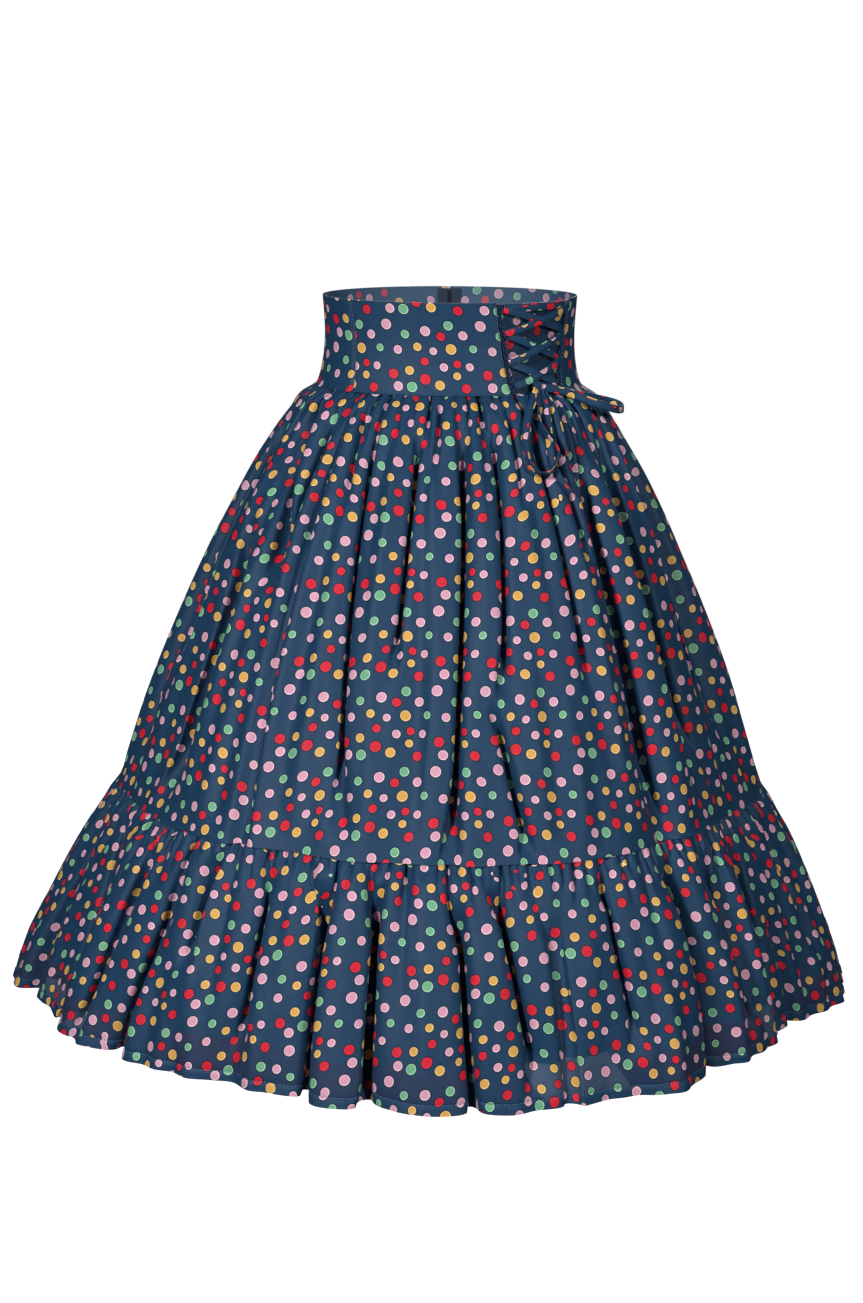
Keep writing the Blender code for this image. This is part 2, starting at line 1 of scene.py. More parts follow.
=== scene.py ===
"""Looks of the full skirt: printed cotton, gathers, folds, lacing, bow and zip.

Everything is in metres in the frame of the solids: the origin is the middle of the waistband's
narrowest ring, the front faces -Y, +X is the viewer's right and +Z is up. Turn is the angle
round the body in degrees, 0 at centre front and 90 at +X. Level is the height.
"""

import math

import bpy
import numpy as np
from mathutils import Matrix, Vector


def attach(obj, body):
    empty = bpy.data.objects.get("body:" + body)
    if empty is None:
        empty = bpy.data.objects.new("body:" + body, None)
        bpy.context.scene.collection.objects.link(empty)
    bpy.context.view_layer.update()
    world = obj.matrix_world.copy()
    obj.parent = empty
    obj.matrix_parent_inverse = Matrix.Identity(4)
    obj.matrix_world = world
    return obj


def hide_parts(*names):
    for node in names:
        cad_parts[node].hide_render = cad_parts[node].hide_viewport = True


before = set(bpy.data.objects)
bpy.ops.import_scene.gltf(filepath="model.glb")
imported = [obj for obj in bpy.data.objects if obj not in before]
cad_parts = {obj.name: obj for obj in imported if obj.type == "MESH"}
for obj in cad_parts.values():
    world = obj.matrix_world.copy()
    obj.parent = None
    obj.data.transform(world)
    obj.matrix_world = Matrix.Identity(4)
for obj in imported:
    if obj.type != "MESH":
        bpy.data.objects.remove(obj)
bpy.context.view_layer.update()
UP = np.array([0.0, 0.0, 1.0])
MM = 0.001

# Form of the skirt, within a few millimetres of its solids ---

TOP = 0.037
WAIST_SEAM = -0.048
FLOUNCE_SEAM = -0.443
HEM = -0.646
LEAN = 0.017  # how far a ring moves to the side for each metre down
TILT = 0.017  # slope of the hem from side to side

# level, half_width, half_depth
RINGS = (
    (TOP, 0.1205, 0.0945),
    (0.018, 0.1190, 0.0925),
    (0.000, 0.1183, 0.0915),
    (-0.020, 0.1195, 0.0925),
    (-0.038, 0.1228, 0.0952),
    (WAIST_SEAM, 0.1275, 0.0980),
    (-0.057, 0.1405, 0.1080),
    (-0.075, 0.1550, 0.1220),
    (-0.100, 0.1705, 0.1360),
    (-0.140, 0.1940, 0.1560),
    (-0.200, 0.2240, 0.1820),
    (-0.270, 0.2545, 0.2100),
    (-0.350, 0.2865, 0.2400),
    (FLOUNCE_SEAM, 0.3190, 0.2740),
    (-0.460, 0.3305, 0.2860),
    (-0.500, 0.3540, 0.3065),
    (-0.560, 0.3840, 0.3300),
    (-0.610, 0.4050, 0.3460),
    (HEM, 0.4160, 0.3550),
)

# How far the skirt leans out of its rings, in millimetres: turn, at_flounce_seam, at_hem
SWAY = (
    (-180, 0, -4), (-160, -6, -12), (-142, 2, 2), (-124, -6, -10), (-106, 0, 4), (-86, -5, 0),
    (-76, -12, -25), (-63, -10, -10), (-50, -4, -19), (-38, 1, -20), (-26, -8, -26),
    (-14, 2, -3), (-7, -2, -11), (3, 6, 6), (12, 1, -6), (19, 5, -8), (27, 0, -22),
    (33, -3, -11), (39, -12, -30), (50, -14, -40), (62, -23, -42), (71, -22, -46),
    (80, -12, -24), (90, -1, -2), (103, 4, 4), (122, -6, -10), (141, 3, 3), (160, -6, -10),
    (180, 0, -4),
)

# Main folds, with levels and depth in millimetres. Squeeze draws the mouth of a fold together,
# on its left and on its right side.
# start_turn, end_turn, start, end, depth, spread, squeeze_left, squeeze_right
FOLD_ROWS = (
    # main tier, front
    (-59, -45, -52, -230, 13, 5.5, 0.8, 0.1), (-47, -43, -52, -240, 9, 3.5, 0.6, 0.3),
    (-39, -34, -30, -600, 5, 3.5, 0.2, 0.2), (-33, -29, -50, -150, 7, 3.5, 0.3, 0.5),
    (-26, -17, -56, -440, 15, 4.5, 0.9, 0.7), (-10, -10, -60, -300, 11, 3.5, 0.9, 0.6),
    (-3, -4, -50, -120, 5, 3, 0.4, 0.4), (5, 1, -52, -480, 18, 5, 1, 0.55),
    (16, 11, -56, -320, 13, 4, 0.95, 0.5), (9, 15, -300, -450, 10, 4, 0.9, 0.4),
    (22, 21, -52, -150, 6, 3, 0.5, 0.3), (29, 30, -70, -310, 13, 4, 0.95, 0.5),
    (36, 37, -52, -200, 10, 3.5, 0.9, 0.5), (46, 43, -60, -480, 16, 7, 0.1, 0.85),
    (61, 60, -60, -430, 14, 8, 0, 0.8), (-63, -59, -150, -450, 14, 7.5, 0.85, -0.1),
    # main tier, sides and back
    (180, 180, -30, -800, 4, 3.5, 0.2, 0.2), (75, 72, -56, -400, 11, 6, 0.2, 0.6),
    (82, 77, -56, -440, 10, 6, 0.7, 0.3), (94, 91, -60, -300, 9, 4.5, 0.6, 0.3),
    (106, 103, -56, -440, 12, 5, 0.7, 0.4), (119, 116, -56, -320, 12, 5, 0.4, 0.7),
    (132, 130, -60, -380, 10, 5, 0.6, 0.5), (146, 143, -56, -440, 13, 5, 0.7, 0.3),
    (159, 157, -56, -280, 9, 4, 0.5, 0.5), (169, 168, -70, -440, 12, 4.5, 0.8, 0.3),
    (-76, -75, -56, -340, 10, 6, 0.6, 0.1), (-84, -81, -56, -430, 12, 5, 0.4, 0.7),
    (-97, -94, -60, -280, 9, 4.5, 0.5, 0.6), (-109, -105, -56, -440, 13, 5, 0.7, 0.4),
    (-122, -119, -56, -360, 10, 5, 0.5, 0.5), (-136, -132, -56, -320, 12, 5, 0.4, 0.8),
    (-149, -146, -60, -440, 13, 5, 0.7, 0.4), (-165, -163, -70, -340, 10, 4.5, 0.6, 0.4),
    # flounce, front
    (-82, -81, -450, -700, 10, 4.5, 0.7, 0.1), (-70, -65, -446, -700, 16, 6.5, 0.9, 0.1),
    (-55, -57, -450, -660, 10, 4, 0.8, 0.3), (-45, -50, -460, -700, 13, 5, 0.9, 0.2),
    (-39, -38, -446, -560, 10, 4, 0.4, 0.7), (-28, -27, -446, -620, 10, 3.5, 0.7, 0.7),
    (-18, -17, -448, -700, 20, 4.8, 1, 0.55), (-10, -9, -444, -690, 16, 4.2, 1, 0.5),
    (2, 5, -450, -700, 19, 4.8, 1, 0.5), (8, 13, -448, -640, 13, 3.5, 0.95, 0.5),
    (17, 18, -455, -700, 9, 5, 0.5, 0.5), (26, 28, -448, -620, 11, 3.5, 0.9, 0.5),
    (42, 41, -446, -700, 22, 5.8, 0.9, 0.5), (52, 53, -446, -640, 10, 3.5, 0.4, 0.7),
    (65, 63, -450, -680, 14, 6, 0.2, 0.8), (71, 70, -520, -700, 10, 4, 0.7, 0.3),
    # flounce, sides and back
    (82, 80, -446, -600, 9, 4, 0.6, 0.4), (91, 93, -450, -700, 14, 4.5, 0.5, 0.7),
    (102, 101, -448, -600, 9, 4, 0.5, 0.5), (112, 113, -446, -700, 17, 4.5, 0.9, 0.4),
    (124, 122, -450, -700, 10, 4, 0.5, 0.7), (134, 136, -446, -700, 16, 4.5, 0.8, 0.4),
    (147, 145, -448, -620, 10, 4, 0.4, 0.7), (157, 158, -450, -700, 16, 4.5, 0.8, 0.5),
    (169, 167, -446, -700, 12, 4, 0.5, 0.6), (-91, -93, -446, -700, 16, 4.5, 0.4, 0.9),
    (-102, -101, -450, -620, 9, 4, 0.5, 0.5), (-113, -115, -446, -700, 16, 4.5, 0.8, 0.5),
    (-125, -124, -448, -700, 11, 4, 0.4, 0.7), (-137, -139, -450, -700, 16, 4.5, 0.9, 0.4),
    (-149, -148, -446, -600, 9, 4, 0.5, 0.5), (-158, -160, -450, -700, 15, 4.5, 0.4, 0.9),
    (-170, -169, -446, -700, 12, 4, 0.6, 0.5),
)
FOLDS = [(*row[:2], *(value * MM for value in row[2:5]), *row[5:]) for row in FOLD_ROWS]
FADE = 0.28  # share of a fold's length over which it dies out at each end
DEEPEN = 1.8  # how much deeper the cloth folds than the plain solid shows
NARROW = 1.5  # and how much narrower, as a power

# Edges of the lacing's opening, as turns at the top edge and at the waist seam
OPENING_LEFT = (20.5, 27.5)
OPENING_RIGHT = (68.5, 56.5)
# Cut edges of the panels: name, left_top, left_low, right_top, right_low
WAIST_PANELS = (
    ("waist_left", -180.0, -180.0, -51.0, -46.0),
    ("waist_front", -51.0, -46.0, *OPENING_LEFT),
    ("waist_right", *OPENING_RIGHT, 180.0, 180.0),
)
TIER_PANELS = (
    ("skirt_back_left", -180.0, -180.0, -109.0, -105.0),
    ("skirt_left", -109.0, -105.0, -39.0, -34.0),
    ("skirt_front", -39.0, -34.0, 47.0, 41.5),
    ("skirt_right", 47.0, 41.5, 106.0, 103.0),
    ("skirt_back_right", 106.0, 103.0, 180.0, 180.0),
)
FLOUNCE_PANELS = (
    ("flounce_left", -180.0, -180.0, -91.0, -92.5),
    ("flounce_front", -91.0, -92.5, 91.0, 92.5),
    ("flounce_right", 91.0, 92.5, 180.0, 180.0),
)

# Lacing and bow, on the routes of their solids ---

LACE_WIDTH = 0.0074
LACE_WALL = 0.0009
BOW_WALL = 0.0016  # the free stretches curl a little, which thickens them
UNDER_OUT = 0.0009
OVER_OUT = 0.0024
BAR_OUT = -0.0007
# name, left_turn, left_level, right_turn, right_level, out
LACING = (
    ("lace_bar", 25.8, 0.0318, 64.3, 0.0318, BAR_OUT),
    ("lace_under_1", 24.0, 0.0312, 61.5, 0.0085, UNDER_OUT),
    ("lace_under_2", 26.5, 0.0068, 58.8, -0.0178, UNDER_OUT),
    ("lace_under_3", 28.8, -0.0196, 55.0, -0.0398, UNDER_OUT),
    ("lace_over_1", 24.2, 0.0080, 65.2, 0.0310, OVER_OUT),
    ("lace_over_2", 27.0, -0.0182, 62.2, 0.0062, OVER_OUT),
    ("lace_over_3", 29.4, -0.0398, 59.4, -0.0180, OVER_OUT),
)
KNOT_TURN = 40.0
KNOT_LEVEL = -0.0405
KNOT_OUT = 0.0034
# turn, then level and out in millimetres, then face, the angle by which it stands on its edge
BOW = {
    "lace_loop_right": (
        (43.5, -41.5, 5.2, 5), (46.5, -43.2, 6.2, 5), (50.1, -45.3, 7.5, 5),
        (53.9, -47.3, 9, 5), (56.5, -50, 11, 5), (57.8, -53, 13.5, 5), (59, -55.5, 16.2, 5),
        (60.8, -58, 19, 5), (63.2, -60.3, 21.2, 5), (66, -63, 22.8, 5), (69.6, -65, 23.5, 5),
        (73.6, -65.6, 22.8, 5), (77.4, -65.2, 21.3, 5), (80.1, -63.8, 18.2, 5),
        (80.9, -62, 14, 5), (79.6, -60.3, 10.2, 5), (76.5, -58.3, 7.6, 5), (72.1, -56, 5.8, 5),
        (66.7, -53.2, 4.8, 5), (60.9, -50.2, 4.4, 5), (54.9, -47, 4.2, 5), (49.1, -44, 3.7, 5),
        (44, -41.2, 3, 5),
    ),
    "lace_loop_left": (
        (37.6, -46.2, 6.2, 8), (34.8, -51, 6, 12), (31, -57.3, 6.2, 18), (28, -66, 6.6, 26),
        (26.1, -76, 7.4, 40), (24.6, -86.7, 8.2, 58), (24.2, -96.7, 8.8, 76),
        (24.6, -105.3, 9.2, 88), (26.1, -111.3, 9.4, 90), (28, -113, 9.4, 90),
        (30.2, -111.2, 9.4, 90), (32.3, -106, 9.4, 90), (34, -100.7, 9.4, 88),
        (35, -96, 9.5, 84), (34.8, -90.5, 9.5, 78), (33.8, -84.5, 9.2, 72), (33, -78, 8.6, 66),
        (32.6, -71.3, 7.8, 58), (33.2, -63.3, 7.2, 46), (35.5, -55.3, 6.8, 28),
        (39, -46.7, 6, 10),
    ),
    "lace_tail_a": (
        (40.9, -46.2, 3.7, 26), (39.6, -52.7, 3.7, 34), (37.4, -62, 3.4, 42),
        (35.6, -74, 3.2, 48), (34.2, -87.3, 3, 52), (33.2, -101.3, 3, 54),
        (33.2, -111.3, 3, 56), (34, -121.3, 3.4, 62), (35.9, -132, 4.2, 70),
    ),
    "lace_tail_b": (
        (43.2, -46.2, 2.5, 24), (41.9, -54, 3, 34), (40.6, -64, 3.8, 46), (39.8, -76, 4.2, 56),
        (39, -88, 4.4, 62), (38.4, -100, 4.4, 64),
    ),
}

FOLD_SHOWS = 0.0015  # how much of a strap's second layer shows beside its edge
JUMP = (0.0210, 0.0135)  # from the print on one layer to the print on the other
JUMP_SIDES = (6, 7, 8)
# Where a stretch starts inside the knot: how far its turn, level and out have come from the
# knot's middle, as shares of the way to its first row
LEAD_IN = (0.35, 0.35, 0.65)

# Cloth ---------------------------------

CLOTH = 0.0008  # thickness of the skirt's cloth
BAND = 0.0011  # of the waistband, which is doubled
SEAM = 0.0003  # gap between sewn pieces, above one another
SIDE_GAP = 0.0006  # and side by side
SEAM_LAP = 0.0010  # how far a folded allowance leans over towards the next panel's
ROLL = 0.0022  # width over which a seamed edge rolls in
ROLL_DEPTH = 0.0012
HEM_FOLD = 0.0088  # height of the doubled hem
HEM_PROUD = 0.0005
HEM_DENT = 0.0009  # the topstitching sinks by this
HEM_STEP = 0.0010
CALM = 0.006  # folds aren't drawn sideways nearer than this to a seamed edge
ALLOWANCE = 0.006  # seam allowance at a gathered panel's sides, folded in behind it
SHELF = 0.013  # and at a seam that runs round, where it lies level inside
AT_ZIP = 0.0012  # what is left of both beside the zip
ZIP_END = -0.155  # level where the zip's tape has ended
ZIP_ENDS_OVER = 0.02  # stretch round the tape's end where the gathers grow deep again
ZIP_HALF_TURN = 6.0
ZIP_FADE = 3.0
ZIP_ROOM = 0.0003  # how deep a gather may be where the zip's tape lies behind it
BAND_TURNED = 0.0012  # the allowance at the waistband's own seam, pressed open

# Gathers are slits that start at a seam, with cloth puffed between them. A family of them is:
# seam, seed, closest and widest spacing, shallowest and deepest, shortest and longest, drift,
# narrowest and broadest half-width
GATHERS = (
    (WAIST_SEAM, 11, 0.0085, 0.0190, 0.0042, 0.0092, 0.022, 0.110, 2.5, 0.0029, 0.0054),
    (WAIST_SEAM, 23, 0.0260, 0.0480, 0.0060, 0.0110, 0.130, 0.340, 4.0, 0.0050, 0.0090),
    (FLOUNCE_SEAM, 37, 0.0065, 0.0135, 0.0040, 0.0076, 0.014, 0.075, 1.8, 0.0030, 0.0048),
    (FLOUNCE_SEAM, 41, 0.0260, 0.0500, 0.0055, 0.0100, 0.080, 0.205, 3.0, 0.0055, 0.0090),
)
# Soft ripples between the folds: how many in a turn, height, phase, drift per metre down
TIER_RIPPLES = ((29, 0.0019, 0.6, 7.0), (41, 0.0016, 2.1, -9.0), (58, 0.0011, 4.0, 12.0))
FLOUNCE_RIPPLES = ((34, 0.0026, 1.3, 12.0), (49, 0.0020, 3.3, -16.0), (73, 0.0013, 5.1, 20.0))
RIPPLE_GROWS = 0.070

GATHER_START = 0.75  # share of its depth that a gather has at the seam itself
GATHER_GROWS = 0.006  # how far down it reaches its full depth
GATHER_OPENS = 1.3  # how much broader it is where it dies out
GATHER_NARROW = 1.2  # and how narrow its floor is, as a power
GATHER_DIES = 1.2  # power with which it dies out
GATHER_SPACED_AT = 0.012  # how far below the seam spacing and widths are measured
GATHER_LENGTHS_LEAN = 1.6  # above 1 there are more short gathers than long ones
GATHER_DRIFTS = 0.06  # length from which a gather drifts in full
PUFF = 0.0014  # how far the gathered cloth stands out just below a seam
PUFF_AT = 0.009
PUFF_SPREAD = 0.009

# Print: round dots in a repeat of its own ---

REPEAT = (0.088, 0.072)
DOT_SEED = 5
DOT_RADII = (0.0034, 0.0050)
DOT_SIZES_LEAN = 1.3  # above 1 there are more small dots than large ones
DOT_TRIES = 260  # places tried for each dot, of which the roomiest is kept
SAME_APART = 0.0035  # how much further apart two dots of one colour are
# colour of the middle, of the rim and of the fine ring outside, and how many in a repeat
DOTS = (
    ((0.760, 0.370, 0.500), (0.950, 0.680, 0.780), (0.001, 0.005, 0.016), 8),
    ((0.700, 0.016, 0.040), (0.780, 0.034, 0.062), (0.001, 0.008, 0.016), 6),
    ((0.780, 0.420, 0.095), (0.940, 0.700, 0.330), (0.001, 0.005, 0.016), 5),
    ((0.180, 0.460, 0.260), (0.420, 0.760, 0.540), (0.001, 0.005, 0.016), 4),
)
# How far outside a dot's edge its ring, rim and middle start, and where each is full
RING_STEP = (0.00095, 0.00060)
RIM_STEP = (0.00012, -0.00012)
MIDDLE_STEP = (-0.00055, -0.00085)
MIDDLE_OFF = (0.00022, -0.00018, 0.0)  # the middle is printed this far off the rim
RAGGED = 0.00008  # how far a dot's edge wanders
RAGGED_SCALE = 900.0
NAVY = (0.0132, 0.0520, 0.1170)
NAVY_MOTTLE = 0.06  # how much lighter and darker the ground is in places
REVERSE_NAVY = (0.075, 0.130, 0.200)
THREAD = (0.095, 0.190, 0.310)
LOOP_NAVY = (0.010, 0.034, 0.105)
THREAD_PITCH = 0.00042
STREAKS = (1.0, 0.16, 1.0)  # squeezes noise down the cloth, which draws it out to streaks
# Noises of the cloth: scale, detail and, where it isn't plain, roughness
MOTTLE = (160.0, 3.0, 0.6)
SPECKLE = (2600.0, 1.0)
WRINKLES = (120.0, 3.0, 0.55)
GRAIN = (420.0, 2.0, 0.6)
# Darkest and lightest tone of the threads and of the speckle
THREAD_TONES = (0.93, 1.06)
SPECKLE_TONES = (0.86, 1.14)
# How high each stands in the bump
WRINKLES_HIGH = 1.1
GRAIN_HIGH = 0.25
THREADS_HIGH = 0.06
CREASES_HIGH = 0.8

# Fine creases that folding has pressed in, raised in the bump and painted lighter as a highlight
# along their crests: high_turn, high_level, low_turn, low_level
CREASES = (
    (-66.0, -0.150, -51.5, -0.440),
    (77.0, -0.150, 69.0, -0.440),
    (118.0, -0.170, 123.0, -0.420),
    (-121.0, -0.160, -126.0, -0.430),
)
CREASE_HALF = 0.0012
CREASE_ENDS = 0.03  # length over which a crease dies out
# colour and share of the painted highlight along the creases' crests
CREASE_HIGHLIGHT_COLOUR = (0.11, 0.17, 0.25)
CREASE_HIGHLIGHT_SHARE = 0.30

PLACE_SCALE = 0.3  # what the second UV map multiplies a turn in radians by
# Above the hem's fold: the band where the cloth is one layer and what lies behind it is painted on
# as a tint, painted light that shows through
BAND_HEIGHT = 0.032
BAND_WAVES = 0.012
BAND_SEE_THROUGH_TINT = (0.042, 0.030, 0.078)
BAND_SHARE = 0.55
BAND_PATCHY = (0.35, 0.62)  # values of a slow noise from which the tint starts and is full
# Where light falls through the single layer: left and right, as a turn in radians times
# PLACE_SCALE, then low, high and slant
PALE_PATCHES = (
    (-0.385, -0.345, 0.0090, 0.0260, 0.4),
    (-0.318, -0.290, 0.0090, 0.0230, -0.3),
    (0.075, 0.142, 0.0090, 0.0380, 0.5),
    (0.300, 0.352, 0.0090, 0.0400, 0.3),
    (0.560, 0.610, 0.0090, 0.0260, 0.4),
    (-0.640, -0.600, 0.0090, 0.0240, -0.3),
)
PATCH_TILT = 0.10
PATCH_SIDE = 0.0004  # how softly a patch ends at its sides
PATCH_EDGE = 0.0003  # and at its lower and upper edge
# pale colour and share painted where light falls through: painted light
PALE = (0.070, 0.115, 0.185)
PALE_SHARE = 0.62

# Small tools ---------------------------


def eased(s):
    """0 to 1 with soft ends."""
    s = np.clip(s, 0.0, 1.0)
    return s * s * (3 - 2 * s)


def smooth(table, key, column):
    """One column of a table sorted by its first, run smoothly through its rows."""
    rows = np.array(sorted(table), float)
    x, y = rows[:, 0], rows[:, column]
    last = len(x) - 1
    low = np.maximum(np.arange(last + 1) - 1, 0)
    high = np.minimum(np.arange(last + 1) + 1, last)
    slope = (y[high] - y[low]) / (x[high] - x[low])
    key = np.clip(key, x[0], x[-1])
    i = np.clip(np.searchsorted(x, key, side="left") - 1, 0, last - 1)
    span = x[i + 1] - x[i]
    s = (key - x[i]) / span
    return (
        (2 * s**3 - 3 * s**2 + 1) * y[i]
        + (s**3 - 2 * s**2 + s) * span * slope[i]
        + (3 * s**2 - 2 * s**3) * y[i + 1]
        + (s**3 - s**2) * span * slope[i + 1]
    )


def ring_point(turn, level, out=0.0):
    """Points of the skirt's rings, moved out of them."""
    turn, level = np.broadcast_arrays(np.asarray(turn, float), np.asarray(level, float))
    half_width = smooth(RINGS, level, 1)
    half_depth = smooth(RINGS, level, 2)
    angle = np.radians(turn)
    nx, ny = np.sin(angle) / half_width, -np.cos(angle) / half_depth
    length = np.hypot(nx, ny)
    x = half_width * np.sin(angle) + nx / length * out
    y = -half_depth * np.cos(angle) + ny / length * out
    below = np.maximum(0.0, -level)
    x = x - LEAN * below
    z = level - TILT * x * below / -HEM
    return np.stack(np.broadcast_arrays(x, y, z), axis=-1)


def sway(turn, level):
    """How far the skirt leans out of its rings at each place."""
    turn = (turn + 180.0) % 360.0 - 180.0
    at_seam = smooth(SWAY, turn, 1) * MM
    upper = at_seam * eased((WAIST_SEAM - level) / (WAIST_SEAM - FLOUNCE_SEAM))
    share = np.clip((FLOUNCE_SEAM - level) / (FLOUNCE_SEAM - HEM), 0.0, 1.0)
    lower = at_seam + (smooth(SWAY, turn, 2) * MM - at_seam) * share
    return np.where(level > FLOUNCE_SEAM, upper, lower)


def unit(v):
    return v / np.maximum(np.linalg.norm(v, axis=-1, keepdims=True), 1e-12)


def outward(turn, level):
    """The direction square out of the rings."""
    around = ring_point(turn + 0.5, level) - ring_point(turn - 0.5, level)
    down = ring_point(turn, level - 0.001) - ring_point(turn, level + 0.001)
    return unit(np.cross(down, around))


def degrees_of(distance, turn, level):
    """A distance round the skirt as an angle at that place."""
    around = ring_point(turn + 0.5, level) - ring_point(turn - 0.5, level)
    return distance / np.linalg.norm(around, axis=-1)


def gather_family(seam, seed, near, wide, shallow, deep, short, long, drift, narrow, broad):
    """Seeded slits below a seam, all round, in the columns of FOLDS."""
    draw = np.random.default_rng(seed)
    measured = seam - GATHER_SPACED_AT
    turn, rows = -180.0, []
    while True:
        turn += float(degrees_of(draw.uniform(near, wide), turn, measured))
        if turn > 179.0:
            return rows
        reach = short + (long - short) * draw.random() ** GATHER_LENGTHS_LEAN
        depth = draw.uniform(shallow, deep)
        width = float(degrees_of(draw.uniform(narrow, broad), turn, measured))
        shift = draw.uniform(-drift, drift) * min(1.0, reach / GATHER_DRIFTS)
        pulls = draw.uniform(0.1, 0.9, 2)
        rows.append((turn, turn + shift, seam, seam - reach, depth, width, *pulls))


def pleated(turn, level, gathers=True):
    """Depth of all folds and gathers at each place, and how far they draw it sideways.

    Where the zip's tape lies behind the cloth, gathers stay shallow enough to keep off it."""
    depth = np.zeros_like(turn)
    shift = np.zeros_like(turn)

    def press(rows, grown, power, scale):
        for start_turn, end_turn, start, end, deepest, spread, pull_left, pull_right in rows:
            along = (start - level) / (start - end)
            off = (turn - start_turn - (end_turn - start_turn) * along + 180) % 360 - 180
            reach = spread * (1 + GATHER_OPENS * np.clip(along, 0, 1)) if grown else spread
            here = (np.abs(off) < reach) & (along > 0) & (along < 1)
            if not here.any():
                continue
            a = along[here]
            x = (off / reach)[here]
            if grown:
                grows = eased((start - level[here]) / GATHER_GROWS)
                fade = (1 - a) ** GATHER_DIES * (GATHER_START + (1 - GATHER_START) * grows)
            else:
                fade = eased((1 - a) / FADE) * eased(a / FADE)
            wall = 0.5 * (1 + np.cos(math.pi * x))
            depth[here] += scale * deepest * wall**power * fade
            pull = np.where(x < 0, pull_left, pull_right)
            shift[here] -= spread * x * pull * np.sin(math.pi * x) ** 2 * fade

    press(FOLDS, False, NARROW, DEEPEN)
    bed = depth.copy()
    for family in GATHERS:
        start, end = family[0], family[0] - family[7]
        if gathers and level.min() < start and level.max() > end:
            press(gather_family(*family), True, GATHER_NARROW, 1.0)
    upper = eased((WAIST_SEAM - level) / RIPPLE_GROWS)
    upper = upper * eased((level - FLOUNCE_SEAM) / RIPPLE_GROWS * 2)
    lower = eased((FLOUNCE_SEAM - level) / RIPPLE_GROWS)
    for ripples, strength in ((TIER_RIPPLES, upper), (FLOUNCE_RIPPLES, lower)):
        for count, height, phase, drift in ripples:
            depth += strength * height * np.sin(count * np.radians(turn) + phase + drift * level)
    for seam in (WAIST_SEAM, FLOUNCE_SEAM):
        below = np.where(level < seam, (seam - level - PUFF_AT) / PUFF_SPREAD, 9.0)
        depth -= PUFF * np.exp(-(below**2))
    over_tape = eased((level - ZIP_END) / ZIP_ENDS_OVER + 0.5)
    over_tape = over_tape * eased((np.abs(turn) - 180.0 + ZIP_HALF_TURN) / ZIP_FADE + 1)
    kept_out = np.minimum(depth, bed / DEEPEN + ZIP_ROOM)
    return depth + (kept_out - depth) * over_tape, shift


def skirt_point(turn, level, out=0.0):
    """Points of the plain solid's face, which the waistband keeps to."""
    return ring_point(turn, level, out + sway(turn, level))


# Materials -----------------------------


class Nodes:
    """A short way to wire a material."""

    def __init__(self, name):
        self.material = bpy.data.materials.new(name)
        self.material.use_nodes = True
        self.tree = self.material.node_tree
        self.shader = self.tree.nodes["Principled BSDF"]

    def add(self, kind, inputs=(), **settings):
        node = self.tree.nodes.new("ShaderNode" + kind)
        for key, value in settings.items():
            setattr(node, key, value)
        for key, value in dict(inputs).items():
            if isinstance(value, bpy.types.NodeSocket):
                self.tree.links.new(value, node.inputs[key])
            elif value is not None:
                node.inputs[key].default_value = value
        return node

    def math(self, operation, a, b=None, c=None):
        return self.add("Math", {0: a, 1: b, 2: c}, operation=operation).outputs[0]

    def product(self, first, *others):
        for other in others:
            first = self.math("MULTIPLY", first, other)
        return first

    def scaled_sum(self, a, factor, b):
        """a times factor, plus b."""
        return self.math("MULTIPLY_ADD", a, factor, b)

    def vector(self, operation, a, b=None, c=None, scale=None):
        values = {0: a, 1: b, 2: c}
        if scale is not None:
            values["Scale"] = scale
        node = self.add("VectorMath", values, operation=operation)
        return node.outputs["Value" if operation == "LENGTH" else "Vector"]

    def step(self, value, start, end):
        """0 to 1 as the value runs from start to end."""
        inputs = {"Value": value, "From Min": start, "From Max": end}
        node = self.add("MapRange", inputs, interpolation_type="SMOOTHSTEP")
        return node.outputs["Result"]

    def within(self, value, low, high):
        """A number from low to high as the value runs from 0 to 1."""
        inputs = {"Value": value, "To Min": low, "To Max": high}
        return self.add("MapRange", inputs).outputs["Result"]

    def mix(self, share, a, b):
        node = self.add("Mix", data_type="RGBA")
        colours = [s for s in node.inputs if s.type == "RGBA"]
        for socket, value in ((node.inputs["Factor"], share), (colours[0], a), (colours[1], b)):
            if isinstance(value, bpy.types.NodeSocket):
                self.tree.links.new(value, socket)
            elif isinstance(value, tuple):
                socket.default_value = (*value, 1.0)
            else:
                socket.default_value = value
        return [s for s in node.outputs if s.type == "RGBA"][0]

    def scaled(self, colour, factor):
        return self.vector("SCALE", colour, scale=factor)

    def noise(self, vector, scale, detail=2.0, roughness=0.5):
        inputs = {"Vector": vector, "Scale": scale, "Detail": detail, "Roughness": roughness}
        return self.add("TexNoise", inputs).outputs["Fac"]

    def uv(self, name):
        return self.add("UVMap", uv_map=name).outputs["UV"]

    def apart(self, vector):
        """The first two parts of a vector."""
        return self.add("SeparateXYZ", {"Vector": vector}).outputs[:2]

    def finish(self, colour, height, strength, distance, **values):
        """Joins colour and bump to the shader, sets its values and returns the material."""
        bump = self.add("Bump", {"Height": height, "Strength": strength, "Distance": distance})
        self.tree.links.new(bump.outputs["Normal"], self.shader.inputs["Normal"])
        self.tree.links.new(colour, self.shader.inputs["Base Color"])
        return self.set(**values)

    def set(self, **values):
        for name, value in values.items():
            self.shader.inputs[name.replace("_", " ")].default_value = value
        return self.material


